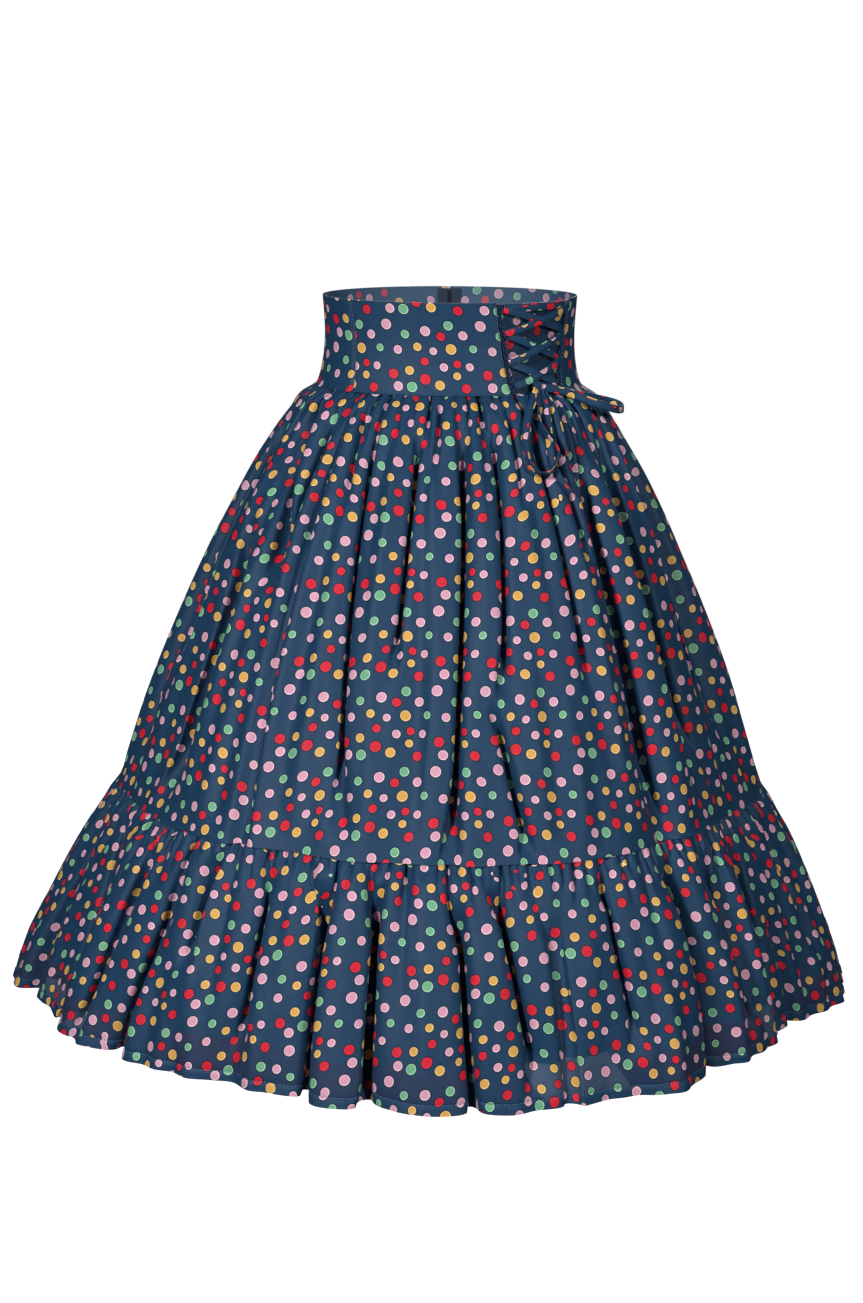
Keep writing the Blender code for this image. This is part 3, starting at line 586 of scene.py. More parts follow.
def dot_layout():
    """Places of the dots in one repeat: evenly tossed, none touching, from a fixed seed."""
    draw = np.random.default_rng(DOT_SEED)
    size = np.array(REPEAT)
    small, large = DOT_RADII
    dots = [
        (kind, small + (large - small) * ((i + 0.5) / dot[3]) ** DOT_SIZES_LEAN)
        for kind, dot in enumerate(DOTS)
        for i in range(dot[3])
    ]
    draw.shuffle(dots)
    placed = []
    for kind, radius in dots:
        best = None
        for _ in range(DOT_TRIES):
            spot = draw.random(2) * size
            room = 1.0
            for other, other_radius, other_kind in placed:
                off = np.abs(spot - other)
                off = np.minimum(off, size - off)
                same = SAME_APART if other_kind == kind else 0.0
                room = min(room, np.hypot(*off) - radius - other_radius - same)
            if best is None or room > best[0]:
                best = (room, spot)
        placed.append((best[1], radius, kind))
    return placed


LAYOUT = dot_layout()


def dot_fields(nodes, place, layout):
    """For each colour of dot, how far a place on the cloth is outside the nearest dot's edge."""
    half = (REPEAT[0] / 2, REPEAT[1] / 2, 1.0)
    fields = [None] * len(DOTS)
    for (x, y), radius, kind in layout:
        away = nodes.vector("SUBTRACT", place, (x, y, 0.0))
        away = nodes.vector("WRAP", away, half, tuple(-h for h in half))
        edge = nodes.math("SUBTRACT", nodes.vector("LENGTH", away), radius)
        known = fields[kind]
        fields[kind] = edge if known is None else nodes.math("MINIMUM", known, edge)
    return fields


def weave(nodes, place):
    """Threads of a plain weave as a height from 0 to 1."""
    waves = [
        nodes.math("SINE", nodes.product(part, 2 * math.pi / THREAD_PITCH))
        for part in nodes.apart(place)
    ]
    return nodes.scaled_sum(nodes.product(*waves), 0.5, 0.5)


def cotton(name, fade=0.0, hem=False, streaks=1.0, tone=1.0, layout=LAYOUT, creased=False):
    """The printed cotton. Fade is 0 on the face and about 0.5 on the paler reverse. Tone below 1
    paints the whole cloth darker, as painted shade.
    """
    nodes = Nodes(name)
    place = nodes.uv("cloth")
    wander = nodes.add("TexNoise", {"Vector": place, "Scale": RAGGED_SCALE, "Detail": 1.0})
    ragged = nodes.vector("SUBTRACT", wander.outputs["Color"], (0.5, 0.5, 0.5))
    edge_place = nodes.vector("ADD", place, nodes.scaled(ragged, RAGGED))
    outer = dot_fields(nodes, edge_place, layout)
    inner = dot_fields(nodes, nodes.vector("ADD", edge_place, MIDDLE_OFF), layout)
    mottle = nodes.step(nodes.noise(place, *MOTTLE), 0.3, 0.7)
    dark, light = (tuple(c * (1 + k * NAVY_MOTTLE) for c in NAVY) for k in (-1, 1))
    colour = nodes.mix(mottle, dark, light)
    if hem:
        # the band above the hem gets what shows through it painted on: painted light
        colour = painted_see_through(nodes, colour)
    for (middle, rim, ring, _), outside, inside in zip(DOTS, outer, inner):
        if outside is None:
            continue
        colour = nodes.mix(nodes.step(outside, *RING_STEP), colour, ring)
        colour = nodes.mix(nodes.step(outside, *RIM_STEP), colour, rim)
        colour = nodes.mix(nodes.step(inside, *MIDDLE_STEP), colour, middle)
    threads = weave(nodes, place)
    # tone below 1 darkens the threads and so the whole cloth: painted shade
    woven = nodes.within(threads, *(tone * value for value in THREAD_TONES))
    speckle = nodes.within(nodes.noise(place, *SPECKLE), *SPECKLE_TONES)
    colour = nodes.scaled(colour, nodes.product(woven, speckle))
    if fade:
        colour = nodes.mix(fade, colour, REVERSE_NAVY)
    wrinkles = nodes.noise(nodes.vector("MULTIPLY", place, STREAKS), *WRINKLES)
    height = nodes.product(nodes.noise(place, *GRAIN), GRAIN_HIGH)
    height = nodes.scaled_sum(wrinkles, WRINKLES_HIGH * streaks, height)
    height = nodes.scaled_sum(threads, THREADS_HIGH, height)
    if creased:
        crest = pressed_crests(nodes)
        height = nodes.scaled_sum(crest, CREASES_HIGH, height)
        # the creases' crests are painted lighter: a painted highlight
        colour = nodes.mix(nodes.product(crest, CREASE_HIGHLIGHT_SHARE), colour, CREASE_HIGHLIGHT_COLOUR)
    return nodes.finish(
        colour, height, 0.5, 0.0010, Roughness=0.53, Specular_IOR_Level=0.20,
        Sheen_Weight=0.015, Sheen_Roughness=0.45,
    )


def pressed_crests(nodes):
    """1 along the fine creases that folding has pressed into the main tier, 0 elsewhere. It raises
    them in the bump and places their painted highlight.
    """
    turn, height = nodes.apart(nodes.uv("place"))
    lines = 0.0
    for high_turn, high, low_turn, low in CREASES:
        slope = (high_turn - low_turn) / (high - low)
        start = math.radians(low_turn - slope * (low - HEM)) * PLACE_SCALE
        lean = nodes.product(height, math.radians(slope) * PLACE_SCALE)
        off = nodes.math("SUBTRACT", turn, nodes.math("ADD", lean, start))
        line = nodes.product(
            nodes.step(nodes.math("ABSOLUTE", off), CREASE_HALF, 0.0),
            nodes.step(height, low - HEM, low - HEM + CREASE_ENDS),
            nodes.step(height, high - HEM, high - HEM - CREASE_ENDS),
        )
        lines = nodes.math("MAXIMUM", line, lines)
    return lines


def painted_see_through(nodes, colour):
    """Above the hem the cloth is one layer, so what is behind it would show through. That is
    painted on: a tint and pale patches of light falling through, both painted light.
    """
    place = nodes.uv("place")
    turn, height = nodes.apart(place)
    ceiling = nodes.scaled_sum(nodes.noise(place, 6.0, 1.0), BAND_WAVES, BAND_HEIGHT)
    along = nodes.vector("MULTIPLY", place, (1.0, 0.0, 0.0))
    tint = nodes.product(
        nodes.step(height, HEM_FOLD, HEM_FOLD + 0.0008),
        nodes.step(nodes.math("SUBTRACT", ceiling, height), -0.0010, 0.0012),
        nodes.step(nodes.noise(along, 7.0, 1.0), *BAND_PATCHY),
        BAND_SHARE,
    )
    colour = nodes.mix(tint, colour, BAND_SEE_THROUGH_TINT)
    for left, right, low, high, slant in PALE_PATCHES:
        lean = nodes.scaled_sum(height, slant, turn)
        crest = nodes.scaled_sum(nodes.math("SUBTRACT", turn, left), PATCH_TILT, high)
        inside = nodes.product(
            nodes.step(lean, left - PATCH_SIDE, left + PATCH_SIDE),
            nodes.step(lean, right + PATCH_SIDE, right - PATCH_SIDE),
            nodes.step(nodes.math("SUBTRACT", crest, height), -PATCH_EDGE, PATCH_EDGE),
            nodes.step(height, low - PATCH_EDGE, low + PATCH_EDGE),
            PALE_SHARE,
        )
        colour = nodes.mix(inside, colour, PALE)
    return colour


def plain(name, colour, roughness, grain, scale=2500.0, metallic=0.0):
    """Thread, tape, enamelled metal or a painted-shadow strip, with a fine grain."""
    nodes = Nodes(name)
    speckle = nodes.noise(nodes.add("TexCoord").outputs["Object"], scale, 2.0, 0.6)
    tone = nodes.within(speckle, 0.75, 1.3)
    toned = nodes.scaled(colour, tone)
    return nodes.finish(toned, speckle, grain, 0.0003, Roughness=roughness, Metallic=metallic)


# Meshes --------------------------------


def in_scene(name, data):
    """A new object in the scene."""
    made = bpy.data.objects.new(name, data)
    bpy.context.scene.collection.objects.link(made)
    return made


def mesh_object(name, points, faces, looks, uvs=None, places=None, smooth_faces=True):
    """A mesh object from arrays. uvs and places hold one pair for each point, or corner."""
    mesh = bpy.data.meshes.new(name)
    mesh.from_pydata(np.asarray(points).reshape(-1, 3).tolist(), [], faces)
    for look in looks:
        mesh.materials.append(look)
    corners = np.zeros(len(mesh.loops), np.int32)
    mesh.loops.foreach_get("vertex_index", corners)
    for label, values in (("cloth", uvs), ("place", places)):
        if values is not None:
            layer = mesh.uv_layers.new(name=label)
            pairs = np.asarray(values, np.float32).reshape(-1, 2)
            if len(pairs) != len(corners):
                pairs = pairs[corners]
            layer.data.foreach_set("uv", pairs.ravel())
    mesh.polygons.foreach_set("use_smooth", [smooth_faces] * len(mesh.polygons))
    mesh.update()
    return in_scene(name, mesh)


def grid_faces(rows, columns):
    r, c = np.meshgrid(np.arange(rows - 1), np.arange(columns - 1), indexing="ij")
    first = (r * columns + c).ravel()
    return np.stack([first, first + columns, first + columns + 1, first + 1], axis=1).tolist()


def ring_faces(rings, sides, closed=False):
    """Faces of a section carried along in rings of points, with both ends unless it closes."""
    faces = [
        (i * sides + j, i * sides + k, (i + 1) % rings * sides + k, (i + 1) % rings * sides + j)
        for i in range(rings if closed else rings - 1)
        for j, k in zip(range(sides), [*range(1, sides), 0])
    ]
    if closed:
        return faces
    last = (rings - 1) * sides
    return [*faces, tuple(range(sides - 1, -1, -1)), tuple(range(last, last + sides))]


def carried(centres, across, away, section):
    """Rings of points: a section, in across and away, carried along a line of centres."""
    section = np.array(section)
    return centres[:, None] + across[:, None] * section[:, :1] + away[:, None] * section[:, 1:]


def joined(parts):
    """Several (points, faces) as one."""
    points, faces, base = [], [], 0
    for some_points, some_faces in parts:
        points.append(some_points)
        faces += [tuple(i + base for i in face) for face in some_faces]
        base += len(some_points)
    return np.concatenate(points), faces


def registered(piece, stands_for=None):
    """Hides the solid that a piece on the skirt stands for, if any, and attaches the piece to the
    skirt.
    """
    if stands_for:
        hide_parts(stands_for)
    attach(piece, "skirt")


def running(path):
    """Running length along a line of points."""
    return np.concatenate([[0.0], np.cumsum(np.linalg.norm(np.diff(path, axis=0), axis=1))])


def path_lengths(points, axis):
    """Running length along the rows or columns of a grid of points."""
    steps = np.linalg.norm(np.diff(points, axis=axis), axis=2)
    start = np.zeros_like(steps.take([0], axis=axis))
    return np.concatenate([start, np.cumsum(steps, axis=axis)], axis=axis)


STRAIGHT_CUT = 0.02  # a panel that widens less than this for each metre down is cut straight


def cut_flat(points):
    """Places on a fan-shaped flat cut for a grid of points: its rows are arcs as long as theirs."""
    run = path_lengths(points, 1)
    length = run[:, -1]
    depth = path_lengths(points, 0).mean(axis=1)
    slope, start = np.polyfit(depth, length, 1)
    along = run - length[:, None] / 2
    if abs(slope) < STRAIGHT_CUT:
        return np.stack(np.broadcast_arrays(along, -depth[:, None]), axis=-1), length, depth
    radius = ((start + slope * depth) / slope)[:, None]
    angle = along / radius
    u = radius * np.sin(angle)
    v = start / slope - radius * np.cos(angle)
    return np.stack([u, v], axis=-1), length, depth


# Linked points of a grid, as rows down and columns to the right. The two long links keep the
# flat cut from folding over itself.
LINKS = ((0, 1), (1, 0), (1, 1), (1, -1), (0, 2), (2, 0))
SETTLE_STEP = 1.2  # how far a point follows its pull in a round
SETTLE_GLIDE = 0.85  # share of its last move that it keeps
COARSE = (4, 8)  # every how many rows and columns settle first, on their own
COARSE_ROUNDS = 900
FINE_ROUNDS = 160  # rounds in which the whole grid then settles
SOFT_WALL = 0.05  # how little a steep wall of a fold counts against the cloth that faces out


def ends_of(link, shape):
    """Both ends of every link of one kind, as slices of a grid."""
    down, right = link
    rows, columns = shape
    first = (slice(0, rows - down), slice(max(0, -right), columns - max(0, right)))
    second = (slice(down, rows), slice(max(0, right), columns - max(0, -right)))
    return first, second


def settle(flat, lengths, weights, rounds):
    """Moves places on a flat cut until neighbours are as far apart as on the folded cloth."""
    ends = [ends_of(link, flat.shape[:2]) for link in LINKS]
    total = np.zeros(flat.shape[:2])
    for (first, second), weight in zip(ends, weights):
        total[first] += weight
        total[second] += weight
    before = flat.copy()
    for _ in range(rounds):
        move = np.zeros_like(flat)
        for (first, second), length, weight in zip(ends, lengths, weights):
            gap = flat[second] - flat[first]
            pull = weight * (1 - length / np.maximum(np.hypot(gap[..., 0], gap[..., 1]), 1e-9))
            step = gap * (0.5 * pull)[..., None]
            move[first] += step
            move[second] -= step
        now = flat + SETTLE_STEP * move / total[..., None] + SETTLE_GLIDE * (flat - before)
        before, flat = flat, now
    return flat


def middles(values, axis):
    """Half-way values between neighbours."""
    size = values.shape[axis]
    low, high = (values.take(range(i, size - 1 + i), axis=axis) for i in (0, 1))
    return (low + high) / 2


def spread_rows(values, here, there):
    """Each row of a table of values at some columns, run straight to other columns."""
    return np.stack([np.interp(there, here, line) for line in values])


def spread_print(points, normals, start):
    """Places on the flat cut for a folded sheet, so that its dots stay round where they show."""
    lengths, weights = [], []
    for link in LINKS:
        first, second = ends_of(link, points.shape[:2])
        gap = points[second] - points[first]
        length = np.linalg.norm(gap, axis=2)
        steep = np.sum(gap * normals[first], axis=2) / length
        lengths.append(length)
        weights.append(SOFT_WALL + (1 - steep**2) ** 2)
    rows, columns = (np.unique(np.r_[0:n:k, n - 1]) for n, k in zip(points.shape, COARSE))
    coarse = np.ix_(rows, columns)
    across = np.diff(path_lengths(points, 1)[coarse], axis=1)
    down = np.diff(path_lengths(points, 0)[coarse], axis=0)
    slant = np.hypot(middles(across, 0), middles(down, 1))
    yields = np.cumsum(1 / weights[0], axis=1)
    yields = np.concatenate([np.zeros((len(points), 1)), yields], axis=1)
    firm = 1 / np.diff(yields[coarse], axis=1) * np.diff(columns)
    half = middles(firm, 0)
    rests = (across, down, slant, slant, 2 * middles(across, 1), 2 * middles(down, 0))
    holds = (firm, 1, half, half, middles(firm, 1), 1)
    moved = settle(start[coarse], rests, holds, COARSE_ROUNDS) - start[coarse]
    row_at, column_at = (np.arange(count) for count in points.shape[:2])
    whole = [
        spread_rows(spread_rows(moved[..., k], columns, column_at).T, rows, row_at).T
        for k in (0, 1)
    ]
    return settle(start + np.stack(whole, axis=-1), lengths, weights, FINE_ROUNDS)


def panel_turns(edges, levels, top, low, step):
    """Turns of every point of a panel between its two slanting edges."""
    left_top, left_low, right_top, right_low = edges[1:]
    share = (top - levels) / (top - low)
    left = left_top + (left_low - left_top) * share
    right = right_top + (right_low - right_top) * share
    left = left + degrees_of(SIDE_GAP / 2, left, levels)
    right = right - degrees_of(SIDE_GAP / 2, right, levels)
    count = int(round((right_top - left_top) / step)) + 1
    return left[:, None] + (right - left)[:, None] * np.linspace(0, 1, count)[None, :]


def rolled(from_edge):
    """How far cloth lies in near a seamed edge."""
    return ROLL_DEPTH * (1 - eased(from_edge / ROLL))


def cloth_face(turns, levels, side, pleats, hem, gathers=True):
    """Places on the cloth's outer face. Side is the distance from a panel's side edge."""
    out = sway(turns, levels) - rolled(side)
    moved = turns
    if pleats:
        depth, sideways = pleated(turns, levels, gathers)
        out = out - depth
        moved = turns + sideways * eased(side / CALM)
    if hem:
        above = levels - HEM
        out = out + HEM_PROUD * eased((HEM_FOLD - above) / HEM_STEP)
        out = out - HEM_DENT * np.exp(-(((above - HEM_FOLD) / HEM_STEP) ** 2))
    return ring_point(moved, levels, out)


def cloth_normal(turns, levels, side, pleats, hem):
    """The direction out of the cloth's face."""
    right, left, low, high = (
        cloth_face(turns + off, levels + up, side, pleats, hem)
        for off, up in ((0.05, 0.0), (-0.05, 0.0), (0.0, -0.0003), (0.0, 0.0003))
    )
    return unit(np.cross(low - high, right - left))


def edge_distance(turns, levels):
    """Distance of every point of a panel from its nearer side edge."""
    scale = 1.0 / degrees_of(1.0, turns[:, :1], levels[:, None])
    from_left = (turns - turns[:, :1]) * scale
    from_right = (turns[:, -1:] - turns) * scale
    return np.minimum(from_left, from_right)


CRISP = 0.25  # cosine of the angle from which a folded edge is crisp


def sharp_rim(piece):
    """Marks the outline of a sheet and its folded edges, so that they stay crisp."""
    mesh = piece.data
    beside = {}
    for face in mesh.polygons:
        for key in face.edge_keys:
            beside.setdefault(key, []).append(face.normal)
    flags = []
    for edge in mesh.edges:
        normals = beside[tuple(sorted(edge.vertices))]
        flags.append(len(normals) == 1 or normals[0].dot(normals[1]) < CRISP)
    mesh.attributes.new("sharp_edge", "BOOLEAN", "EDGE").data.foreach_set("value", flags)


def spaced(*stretches):
    """Levels down a panel: each stretch is an end level and how many rows it takes."""
    levels = [stretches[0][0]]
    for (start, _), (end, count) in zip(stretches, stretches[1:]):
        levels += list(np.linspace(start, end, count + 1)[1:])
    return np.array(levels)


def finish_sheet(piece, wall, stands_for=None):
    """Gives a sheet its thickness, inwards, with its second look inside, and registers it."""
    sharp_rim(piece)
    made = piece.modifiers.new("wall", "SOLIDIFY")
    made.thickness = wall
    made.offset = -1.0
    made.material_offset = 1
    registered(piece, stands_for)


def finish_cloth(piece, name, wall):
    """Finishes a sheet of printed cloth."""
    finish_sheet(piece, wall, name)


def beside_zip(turns, levels):
    """1 where the zip runs, 0 elsewhere."""
    away = 180.0 - np.abs(turns)
    return eased((levels - ZIP_END) / ZIP_ENDS_OVER * 2) * eased(ZIP_HALF_TURN + 1 - away)


def side_allowance(panel, edge, near, full):
    """The allowance at a side edge, folded in until it laps that of the next panel."""
    points, flat, turns, at = (part[:, [edge]] for part in panel)
    by_zip = beside_zip(turns, at)[..., None]
    deep = full + (AT_ZIP - full) * by_zip
    out = outward(turns, at)
    run = points - panel[0][:, [near]]
    across = unit(run - out * (run * out).sum(axis=-1, keepdims=True))
    folded = points - out * deep + across * SEAM_LAP * (1 - by_zip)
    return folded, flat + unit(flat - panel[1][:, [near]]) * deep, turns, at


def shelf_allowance(panel, edge, near):
    """The allowance at an upper or lower edge, which lies level inside the skirt."""
    points, flat, turns, at = (part[[edge]] for part in panel)
    share = (1 + (AT_ZIP / SHELF - 1) * beside_zip(turns, at))[..., None]
    shelf = points + (skirt_point(turns, at, -SHELF) - points) * share
    return shelf, flat + unit(flat - panel[1][[near]]) * SHELF * share, turns, at


def with_allowances(panel, sewn, full, top, low):
    """Adds seam allowances to a panel's points, flat places, turns and levels.

    Sewn tells which of its side edges, left and right, are joined to another panel."""
    left, right = side_allowance(panel, 0, 1, full), side_allowance(panel, -1, -2, full)
    if sewn[0]:
        panel = [np.concatenate(parts, axis=1) for parts in zip(left, panel)]
    if sewn[1]:
        panel = [np.concatenate(parts, axis=1) for parts in zip(panel, right)]
    if top:
        panel = [np.concatenate(parts) for parts in zip(shelf_allowance(panel, 0, 1), panel)]
    if low:
        panel = [np.concatenate(parts) for parts in zip(panel, shelf_allowance(panel, -1, -2))]
    return panel


def cloth_panel(
    edges, levels, top, low, step, looks, wall, pleats, gaps, hem=False, shift=(0, 0), sewn=(1, 1)
):
    """One panel of cloth as a fine sheet that follows its solid."""
    name = edges[0]
    turns = panel_turns(edges, levels, top, low, step)
    heights = np.broadcast_to(levels[:, None], turns.shape)
    at = np.clip(heights, low + gaps[1], top - gaps[0])
    side = edge_distance(turns, levels)
    points = cloth_face(turns, at, side, pleats, hem)
    flat, length, down = cut_flat(points)
    if pleats:
        plain_points = cloth_face(turns, at, side, pleats, hem, False)
        flat = spread_print(points, outward(turns, at), cut_flat(plain_points)[0])
    panel = (points, flat, turns, at)
    full = ALLOWANCE if pleats else BAND_TURNED
    points, flat, turns, at = with_allowances(panel, sewn, full, pleats, not hem)
    places = np.stack([np.radians(turns) * PLACE_SCALE, at - HEM], axis=-1)
    uvs = flat + np.array(shift)
    piece = mesh_object(name + "_cloth", points, grid_faces(*turns.shape), looks, uvs, places)
    finish_cloth(piece, name, wall)


def section_loft(name, centres, across, away, section, look, start):
    """A folded strap: its section, in across and away, carried along a line of centres."""
    rings = carried(centres, across, away, section)
    sides = len(section)
    run = running(centres)
    faces = ring_faces(len(centres), sides)
    uvs = []
    for face in faces[:-2]:
        u, v = np.array(start) + (JUMP if face[0] % sides in JUMP_SIDES else 0.0)
        uvs += [(run[i // sides] + u, section[i % sides][0] + v) for i in face]
    uvs += [start] * (2 * sides)
    piece = mesh_object(name + "_strap", rings, faces, [look], uvs)
    registered(piece, name)
    return piece


def strap_section(width, wall):
    """Section of a strap folded from cloth: its second layer shows along the upper edge."""
    w, t = width / 2, wall / 2
    ledge = w - FOLD_SHOWS
    return [
        (-w, 0.0), (-w + 0.0003, t * 0.9), (-w * 0.5, t), (0.0, t * 1.05), (ledge - 0.0006, t),
        (ledge - 0.0001, t * 0.35), (ledge + 0.0001, t * 0.35), (ledge + 0.0004, t * 0.9),
        (w - 0.0003, t * 0.8), (w, 0.0), (w - 0.0003, -t * 0.9), (w * 0.5, -t), (0.0, -t),
        (-w * 0.5, -t), (-w + 0.0003, -t * 0.9),
    ]


def runs_of(points):
    """The direction of a line at each of its points."""
    return unit(np.gradient(points, axis=0))


def tube(path, radius, sides=6):
    """Points and faces of a closed-ended tube along a path."""
    run = runs_of(path)
    side = unit(np.cross(run, UP) + np.array([1e-6, 0, 0]))
    over = unit(np.cross(side, run))
    turn = np.arange(sides) * 2 * math.pi / sides
    section = np.stack([np.cos(turn), np.sin(turn)], axis=1) * radius
    return carried(path, side, over, section).reshape(-1, 3), ring_faces(len(path), sides)


STITCH_LENGTH = 0.0027
STITCH_GAP = 0.0010
STITCH_RADIUS = 0.00028
STITCHES_SHORT = 0.002  # how far a row down the waistband stops from both its edges
STITCH_PLACES = (0.0, 0.2, 0.8, 1.0)  # shares of a stitch's length where its thread bends
STITCH_LIFTS = (-1.0, 0.5, 0.5, -1.0)  # and how far it is off the cloth there, in radii


def stitch_row(name, *place):
    """Topstitches through places on the cloth, each a short thread that dips at both ends."""
    path, aways = cloth_face(*place), cloth_normal(*place)
    run = running(path)
    parts = []
    start = STITCH_GAP / 2
    while start + STITCH_LENGTH < run[-1]:
        at = start + np.array(STITCH_PLACES) * STITCH_LENGTH
        line, away = (spread_rows(values.T, run, at).T for values in (path, aways))
        line = line + unit(away) * np.array(STITCH_LIFTS)[:, None] * STITCH_RADIUS
        parts.append(tube(line, STITCH_RADIUS, 5))
        start += STITCH_LENGTH + STITCH_GAP
    registered(mesh_object(name, *joined(parts), [STITCH]))


def stitch_round(name, edges, level):
    """Topstitching along a panel at one level above the hem."""
    at = np.array([level])
    turns = panel_turns(edges, at, FLOUNCE_SEAM, HEM, 0.06)
    side = edge_distance(turns, at)[0]
    stitch_row(name, turns[0], np.full(len(side), level), side, True, True)


def beside_edge(edge, inset, levels):
    """Turns at a distance from an edge of the waistband that may slant."""
    share = (TOP - levels) / (TOP - WAIST_SEAM)
    turns = edge[0] + (edge[1] - edge[0]) * share
    return turns + degrees_of(inset, turns, levels)


def stitch_down(name, edge, inset):
    """Topstitching down the waistband, beside an edge."""
    levels = np.linspace(TOP - STITCHES_SHORT, WAIST_SEAM + STITCHES_SHORT, 120)
    turns = beside_edge(edge, inset, levels)
    stitch_row(name, turns, levels, np.full(len(turns), abs(inset)), False, False)


# Camera, first -------------------------

CAMERA_AT = (-0.0157, -2.6, 0.259)
CAMERA_DOWN = 12.32
CAMERA_ROLL = 0.3
FOCAL_PIXELS = 2736.0
FRAME_HEIGHT = 1303
SENSOR = 36.0

camera_data = bpy.data.cameras.new("camera")
camera_data.sensor_width = SENSOR
camera_data.lens = FOCAL_PIXELS / FRAME_HEIGHT * SENSOR
camera_data.clip_end = 50.0
camera = in_scene("camera", camera_data)
tilted = Matrix.Rotation(math.radians(90 - CAMERA_DOWN), 4, "X")
rolled_over = Matrix.Rotation(math.radians(CAMERA_ROLL), 4, "Z")
camera.matrix_world = Matrix.Translation(CAMERA_AT) @ tilted @ rolled_over
bpy.context.scene.camera = camera

# Looks ---------------------------------

FACE = cotton("printed_cotton_face")
REVERSE = cotton("printed_cotton_reverse", fade=0.45)
TIER = cotton("printed_cotton_tier", creased=True)
FLOUNCE = cotton("printed_cotton_flounce", hem=True, streaks=1.3)
# the modesty panel's cloth is painted darker with tone: painted shade where it lies back between
# the laced edges
MODESTY_PAINTED_SHADE = cotton("printed_cotton_modesty_painted_shade", tone=0.62)
STRAP = cotton("printed_cotton_strap", streaks=0.3)
BOW_STRAP = cotton("printed_cotton_bow", streaks=0.3, layout=LAYOUT[::2])
# near-black strip behind the picot loops: painted shadow between the loops and the placket edge
LOOP_PAINTED_SHADOW = plain("loop_painted_shadow", (0.003, 0.006, 0.014), 0.9, 0.5)
STITCH = plain("topstitch_thread", THREAD, 0.6, 0.3)
LOOPS = plain("loop_thread", LOOP_NAVY, 0.7, 0.5)
TAPE = plain("zip_tape", (0.010, 0.022, 0.042), 0.8, 0.5, 1500.0)
METAL = plain("zip_enamel", (0.012, 0.028, 0.050), 0.32, 0.05, 400.0, 0.6)

# Bow: the free cords -------------------

UPRIGHT = "lace_loop_right"
BOW_STEPS = 8  # points between two rows of a route
SECTION = strap_section(LACE_WIDTH, LACE_WALL)
BOW_SECTION = strap_section(LACE_WIDTH, BOW_WALL)


def bow_line(route, upright):
    """Centres of a free stretch, and its directions across and out.

    An upright stretch keeps its width standing, as a ribbon does that bends back on itself."""
    rows = [(i, *row) for i, row in enumerate(route)]
    keys = np.linspace(0, len(route) - 1, (len(route) - 1) * BOW_STEPS + 1)
    turn, level, out, face = (smooth(rows, keys, column) for column in (1, 2, 3, 4))
    centres = ring_point(turn, level * MM, out * MM)
    run = runs_of(centres)
    away = outward(turn, level * MM)
    away = unit(away - run * np.sum(away * run, axis=1, keepdims=True))
    angle = np.radians(face)[:, None]
    across = np.cross(away, run) * np.cos(angle) + away * np.sin(angle)
    if upright:
        across = unit(UP - run * (run @ UP)[:, None])
    return centres, across, unit(np.cross(run, across))


def into_knot(row):
    """A route's end carried on into the knot."""
    knot_row = (KNOT_TURN, KNOT_LEVEL / MM, KNOT_OUT / MM)
    near = [at + (value - at) * share for at, value, share in zip(knot_row, row, LEAD_IN)]
    return (*near, row[3])


for number, (name, route) in enumerate(BOW.items()):
    looped = "loop" in name
    route = (into_knot(route[0]), *route, *([into_knot(route[-1])] if looped else []))
    line = bow_line(route, name == UPRIGHT)
    start = (0.031 * number, 0.011)
    piece = section_loft(name, *line, BOW_SECTION, BOW_STRAP, start)

# Waistband -----------------------------

WAIST_ROWS = spaced((TOP, 0), (TOP - 0.003, 3), (WAIST_SEAM + 0.004, 26), (WAIST_SEAM, 5))
# Which side edges, left and right, of the three panels are joined to each other
WAIST_SEWN = ((0, 1), (1, 0), (0, 0))
for index, edges in enumerate(WAIST_PANELS):
    cloth_panel(
        edges, WAIST_ROWS, TOP, WAIST_SEAM, 1.0, [FACE, REVERSE], BAND, False,
        (0.0, SEAM / 2), shift=(0.013 + 0.037 * index, 0.021 + 0.05 * index),
        sewn=WAIST_SEWN[index],
    )

MODESTY_UNDER = 6.0  # degrees that it reaches under the band beside the opening
MODESTY = (
    "waist_modesty",
    OPENING_LEFT[0] - MODESTY_UNDER,
    OPENING_LEFT[1] - MODESTY_UNDER,
    OPENING_RIGHT[0] + MODESTY_UNDER,
    OPENING_RIGHT[1] + MODESTY_UNDER,
)
MODESTY_IN = 0.0018  # its face, in from the waistband's face
MODESTY_SINKS = 0.0030  # how much further it lies in the middle of the opening
MODESTY_SHORT = 0.0015  # how far it stops below the top edge


def modesty_panel():
    """The printed panel behind the lacing, which sinks in a little between the edges. Its cloth is
    painted darker, as painted shade.
    """
    levels = np.linspace(TOP - MODESTY_SHORT, WAIST_SEAM, 24)
    turns = panel_turns(MODESTY, levels, TOP, WAIST_SEAM, 1.0)
    heights = np.broadcast_to(levels[:, None], turns.shape)
    across = np.linspace(0.0, 1.0, turns.shape[1])[None, :]
    inwards = MODESTY_IN + MODESTY_SINKS * np.sin(math.pi * across) ** 2
    points = skirt_point(turns, heights, -inwards)
    flat, length, down = cut_flat(points)
    faces = grid_faces(*turns.shape)
    piece = mesh_object("waist_modesty_cloth", points, faces, [MODESTY_PAINTED_SHADE, REVERSE], flat + 0.044)
    finish_cloth(piece, "waist_modesty", CLOTH)


LACE_DIP = 0.0010  # how far a crossing's end dips into its loop
LACE_DIP_SHARE = 0.10  # share of its length over which it dips


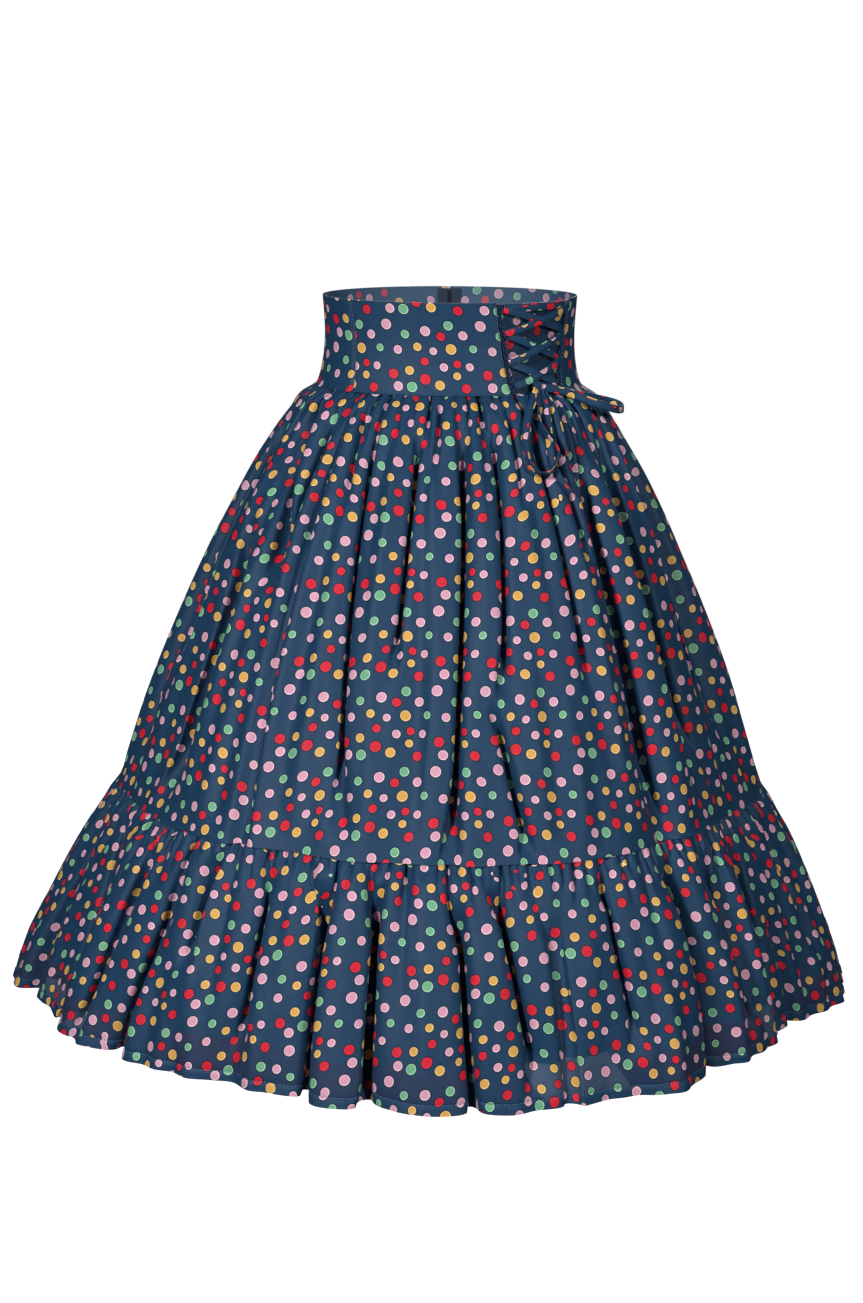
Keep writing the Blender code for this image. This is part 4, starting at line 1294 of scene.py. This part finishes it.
def crossing(row, number):
    """One lacing strap, whose ends dip into the loops."""
    name, left_turn, left_level, right_turn, right_level, out = row
    s = np.linspace(0.0, 1.0, 41)
    turn = left_turn + (right_turn - left_turn) * s
    level = left_level + (right_level - left_level) * s
    dip = LACE_DIP * (eased(1 - s / LACE_DIP_SHARE) + eased(1 - (1 - s) / LACE_DIP_SHARE))
    centres = ring_point(turn, level, out - dip)
    across = unit(np.cross(outward(turn, level), runs_of(centres)))
    normal = unit(np.cross(runs_of(centres), across))
    start = (0.047 * number, 0.019 * number)
    section_loft(name, centres, across, normal, SECTION, STRAP, start)


KNOT_OUTWARDS = 0.0026  # half of a wrap's size out of the band, and along it
KNOT_UPWARDS = 0.0040
# How far each wrap lies to the side, how far it leans in radians, and its size
KNOT_WRAPS = ((-0.0013, 0.35, 1.0), (0.0014, -0.25, 0.93))
KNOT_SECTION = (
    (-0.0024, 0.0), (-0.0018, 0.0006), (-0.0006, 0.0004), (0.0008, 0.0007),
    (0.0019, 0.0005), (0.0024, 0.0), (0.0018, -0.0006), (-0.0018, -0.0006),
)


def knot():
    """The lace's knot: a strap wrapped twice over the crossing, drawn tight."""
    centre = ring_point(KNOT_TURN, KNOT_LEVEL, KNOT_OUT)
    away = outward(KNOT_TURN, KNOT_LEVEL)
    around = unit(np.cross(UP, -away))
    up = np.cross(away, -around)
    phase = np.linspace(0.0, 2 * math.pi, 33)[:-1, None]
    parts = []
    for shift, tilt, size in KNOT_WRAPS:
        axis = around * math.cos(tilt) + up * math.sin(tilt)
        rise = up * math.cos(tilt) - around * math.sin(tilt)
        line = (
            centre
            + around * shift
            + away * np.cos(phase) * KNOT_OUTWARDS * size
            + rise * np.sin(phase) * KNOT_UPWARDS * size
        )
        normal = away * np.cos(phase) / KNOT_OUTWARDS + rise * np.sin(phase) / KNOT_UPWARDS
        rings = carried(line, axis[None], unit(normal), KNOT_SECTION)
        parts.append((rings.reshape(-1, 3), ring_faces(*rings.shape[:2], closed=True)))
    points, faces = joined(parts)
    flat = (points - centre) @ np.stack([around, up], axis=1) + np.array([0.052, 0.031])
    piece = mesh_object("lace_knot_wraps", points, faces, [BOW_STRAP], flat)
    registered(piece, "lace_knot")


LOOP_PITCH = 0.0072
LOOP_BAND = 0.0028  # width of the near-black strip behind the picots, which is painted shadow
LOOPS_SHORT = 0.0016  # how far the tape stops from the band's top and seam
PICOT_AT = 0.0005  # where the picots start beside the edge
PICOT_LEAN = 0.0014  # how far a picot's thread swings up and down
PICOT_LIFT = 0.0003  # and out
# Each thread of the picots: lag, reach, radius, out
PICOTS = ((0.0, 0.0022, 0.00046, 0.0006), (2.8, 0.0015, 0.00036, 0.0000))
EDGE_TWISTS = 40
# The twisted cord: its place beside the edge, its swing to the side and out, and its radius
EDGE_CORD = (0.0008, 0.0003, 0.0002, 0.00032)


def loop_tape(name, edge, side):
    """Picot tape: a twisted edge cord and a row of loops for the lace, over a near-black strip that
    is painted shadow.
    """
    top, low = TOP - LOOPS_SHORT, WAIST_SEAM + LOOPS_SHORT
    parts = []

    def thread(inset, level, out, radius, sides):
        path = ring_point(beside_edge(edge, side * inset, level), level, out)
        parts.append(tube(path, radius, sides))

    turns = (top - low) / LOOP_PITCH
    phase = np.linspace(0.0, 2 * math.pi * turns, int(30 * turns))
    for lag, reach, radius, out in PICOTS:
        inset = PICOT_AT + reach * (1 - np.cos(phase + lag))
        level = top - LOOP_PITCH * phase / (2 * math.pi) + PICOT_LEAN * np.sin(phase + lag)
        out = out + PICOT_LIFT * np.sin(2 * phase + lag)
        thread(inset, np.clip(level, low, top), out, radius, 6)
    phase = np.linspace(0.0, 2 * math.pi * EDGE_TWISTS, 12 * EDGE_TWISTS)
    level = np.linspace(top, low, len(phase))
    at, swing, lift, radius = EDGE_CORD
    thread(at + swing * np.sin(phase), level, lift * np.cos(phase), radius, 5)
    piece = mesh_object(name + "_picots", *joined(parts), [LOOPS])
    registered(piece, name)
    # a near-black strip under the picots stands in for the shadow there: painted shadow
    level = np.linspace(top, low, 60)[:, None]
    inset = side * np.linspace(0.0002, LOOP_BAND, 4)[None, :]
    points = ring_point(beside_edge(edge, inset, level), level, -0.0008)
    band = mesh_object(name + "_band", points, grid_faces(60, 4), [LOOP_PAINTED_SHADOW, LOOP_PAINTED_SHADOW])
    finish_sheet(band, 0.0004)


modesty_panel()
for number, row in enumerate(LACING):
    crossing(row, number)
knot()
loop_tape("loop_tape_left", OPENING_LEFT, 1)
loop_tape("loop_tape_right", OPENING_RIGHT, -1)
stitch_down("placket_stitches_left", OPENING_LEFT, -0.0017)
stitch_down("placket_stitches_right", OPENING_RIGHT, 0.0017)
stitch_down("princess_stitches", (WAIST_PANELS[1][1], WAIST_PANELS[1][2]), 0.0020)

# Zip -----------------------------------


COIL_PITCH = 0.0015
# Each half of the coil: its middle beside the seam, its half-width and half-depth, its wire
COIL_SIZE = (0.0011, 0.0009, 0.0004, 0.00028)
COIL_TOP = TOP - 0.004
COIL_END = -0.150
COIL_IN = 0.0012 + 0.0009 + 0.0010 + 0.0007  # the solid's wall, a gap, the tape and half a coil


def zip_teeth():
    """The concealed zip's coil, on the inner side of its tape."""
    beside, half_width, half_depth, wire = COIL_SIZE
    count = int((COIL_TOP - COIL_END) / COIL_PITCH)
    phase = np.linspace(0.0, 2 * math.pi * count, 8 * count)
    level = np.linspace(COIL_TOP, COIL_END, len(phase))
    parts = []
    for side in (-1, 1):
        inset = side * (beside + half_width * np.cos(phase))
        turn = 180.0 + degrees_of(1.0, 180.0, level) * inset
        depth, _ = pleated(turn, level)
        out = sway(turn, level) - depth - COIL_IN + half_depth * np.sin(phase)
        parts.append(tube(ring_point(turn, level, out), wire, 4))
    registered(mesh_object("zip_coil", *joined(parts), [METAL]))


zip_teeth()
for node, coat in (("zip_tape", TAPE), ("zip_slider", METAL), ("zip_pull", METAL)):
    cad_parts[node].data.materials.clear()
    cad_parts[node].data.materials.append(coat)

# Main tier and flounce -----------------

TIER_ROWS = spaced(
    (WAIST_SEAM, 0), (WAIST_SEAM - 0.012, 9), (WAIST_SEAM - 0.060, 20),
    (FLOUNCE_SEAM + 0.012, 46), (FLOUNCE_SEAM, 5),
)
FLOUNCE_ROWS = spaced(
    (FLOUNCE_SEAM, 0), (FLOUNCE_SEAM - 0.012, 9), (FLOUNCE_SEAM - 0.060, 18),
    (HEM + HEM_FOLD + 0.002, 26), (HEM + HEM_FOLD - 0.001, 4), (HEM, 4),
)
PANEL_STEP = 0.30  # degrees between the points of a gathered panel
for index, edges in enumerate(TIER_PANELS):
    cloth_panel(
        edges, TIER_ROWS, WAIST_SEAM, FLOUNCE_SEAM, PANEL_STEP, [TIER, REVERSE], CLOTH, True,
        (SEAM / 2, SEAM), shift=(0.029 * index, 0.017 * index),
    )
for index, edges in enumerate(FLOUNCE_PANELS):
    cloth_panel(
        edges, FLOUNCE_ROWS, FLOUNCE_SEAM, HEM, PANEL_STEP, [FLOUNCE, REVERSE], CLOTH, True,
        (SEAM, 0.0), hem=True, shift=(0.041 * index, 0.009 + 0.031 * index),
    )
for edges in FLOUNCE_PANELS:
    stitch_round(edges[0] + "_hem_stitches", edges, HEM + HEM_FOLD)

# Stage ---------------------------------

FLOOR_LEVEL = -1.03
ROOM = 14.0
ROOM_SIDES = 48
ROOM_RINGS = 12
AMBIENT = 0.025
WHITE = (1.0, 1.0, 1.0, 1.0)


def paper(glow, tone):
    """Plain paper that shows white by itself."""
    nodes = Nodes("studio_paper")
    return nodes.set(
        Base_Color=(tone, tone, tone, 1.0), Roughness=0.9, Specular_IOR_Level=0.0,
        Emission_Color=WHITE, Emission_Strength=glow,
    )


def stage():
    """A pale floor in a white studio. Neither lights the cloth, so that its folds stay deep."""
    turn = np.linspace(0.0, 2 * math.pi, ROOM_SIDES + 1)[:-1]
    ring = np.stack([np.cos(turn), np.sin(turn), 0 * turn], axis=1) * ROOM
    low = ring + np.array([0.0, 0.0, FLOOR_LEVEL])
    outline = [tuple(range(ROOM_SIDES))]
    floor = mesh_object("floor", low, outline, [paper(1.0, 0.3)], smooth_faces=False)
    rise = np.linspace(0.0, math.pi / 2, ROOM_RINGS + 1)[:-1]
    rows = [ring * math.cos(a) + np.array([0, 0, FLOOR_LEVEL + ROOM * math.sin(a)]) for a in rise]
    faces = ring_faces(ROOM_RINGS, ROOM_SIDES)
    faces.pop(-2)  # the floor closes it below
    room = mesh_object("studio_walls", np.concatenate(rows), faces, [paper(1.1, 0.1)])
    for piece in (floor, room):
        piece.visible_diffuse = False
        piece.visible_glossy = False
        piece.visible_shadow = False


stage()
world = bpy.data.worlds.new("studio")
world.use_nodes = True
background = world.node_tree.nodes["Background"].inputs
background["Color"].default_value = WHITE
background["Strength"].default_value = AMBIENT
bpy.context.scene.world = world


def soft_light(name, place, aim, size, energy):
    """A square light that faces a point."""
    data = bpy.data.lights.new(name, "AREA")
    data.shape = "SQUARE"
    data.size = size
    data.energy = energy
    lamp = in_scene(name, data)
    lamp.location = place
    lamp.rotation_euler = (Vector(aim) - Vector(place)).to_track_quat("-Z", "Y").to_euler()


soft_light("left", (-1.55, -2.45, 0.95), (0.0, 0.0, -0.3), 0.5, 69.0)
soft_light("right", (1.75, -2.35, 0.85), (0.0, 0.0, -0.3), 0.5, 41.0)
soft_light("back", (0.5, 2.4, 1.4), (0.0, 0.0, -0.35), 1.6, 45.0)
bpy.context.scene.view_settings.view_transform = "Standard"
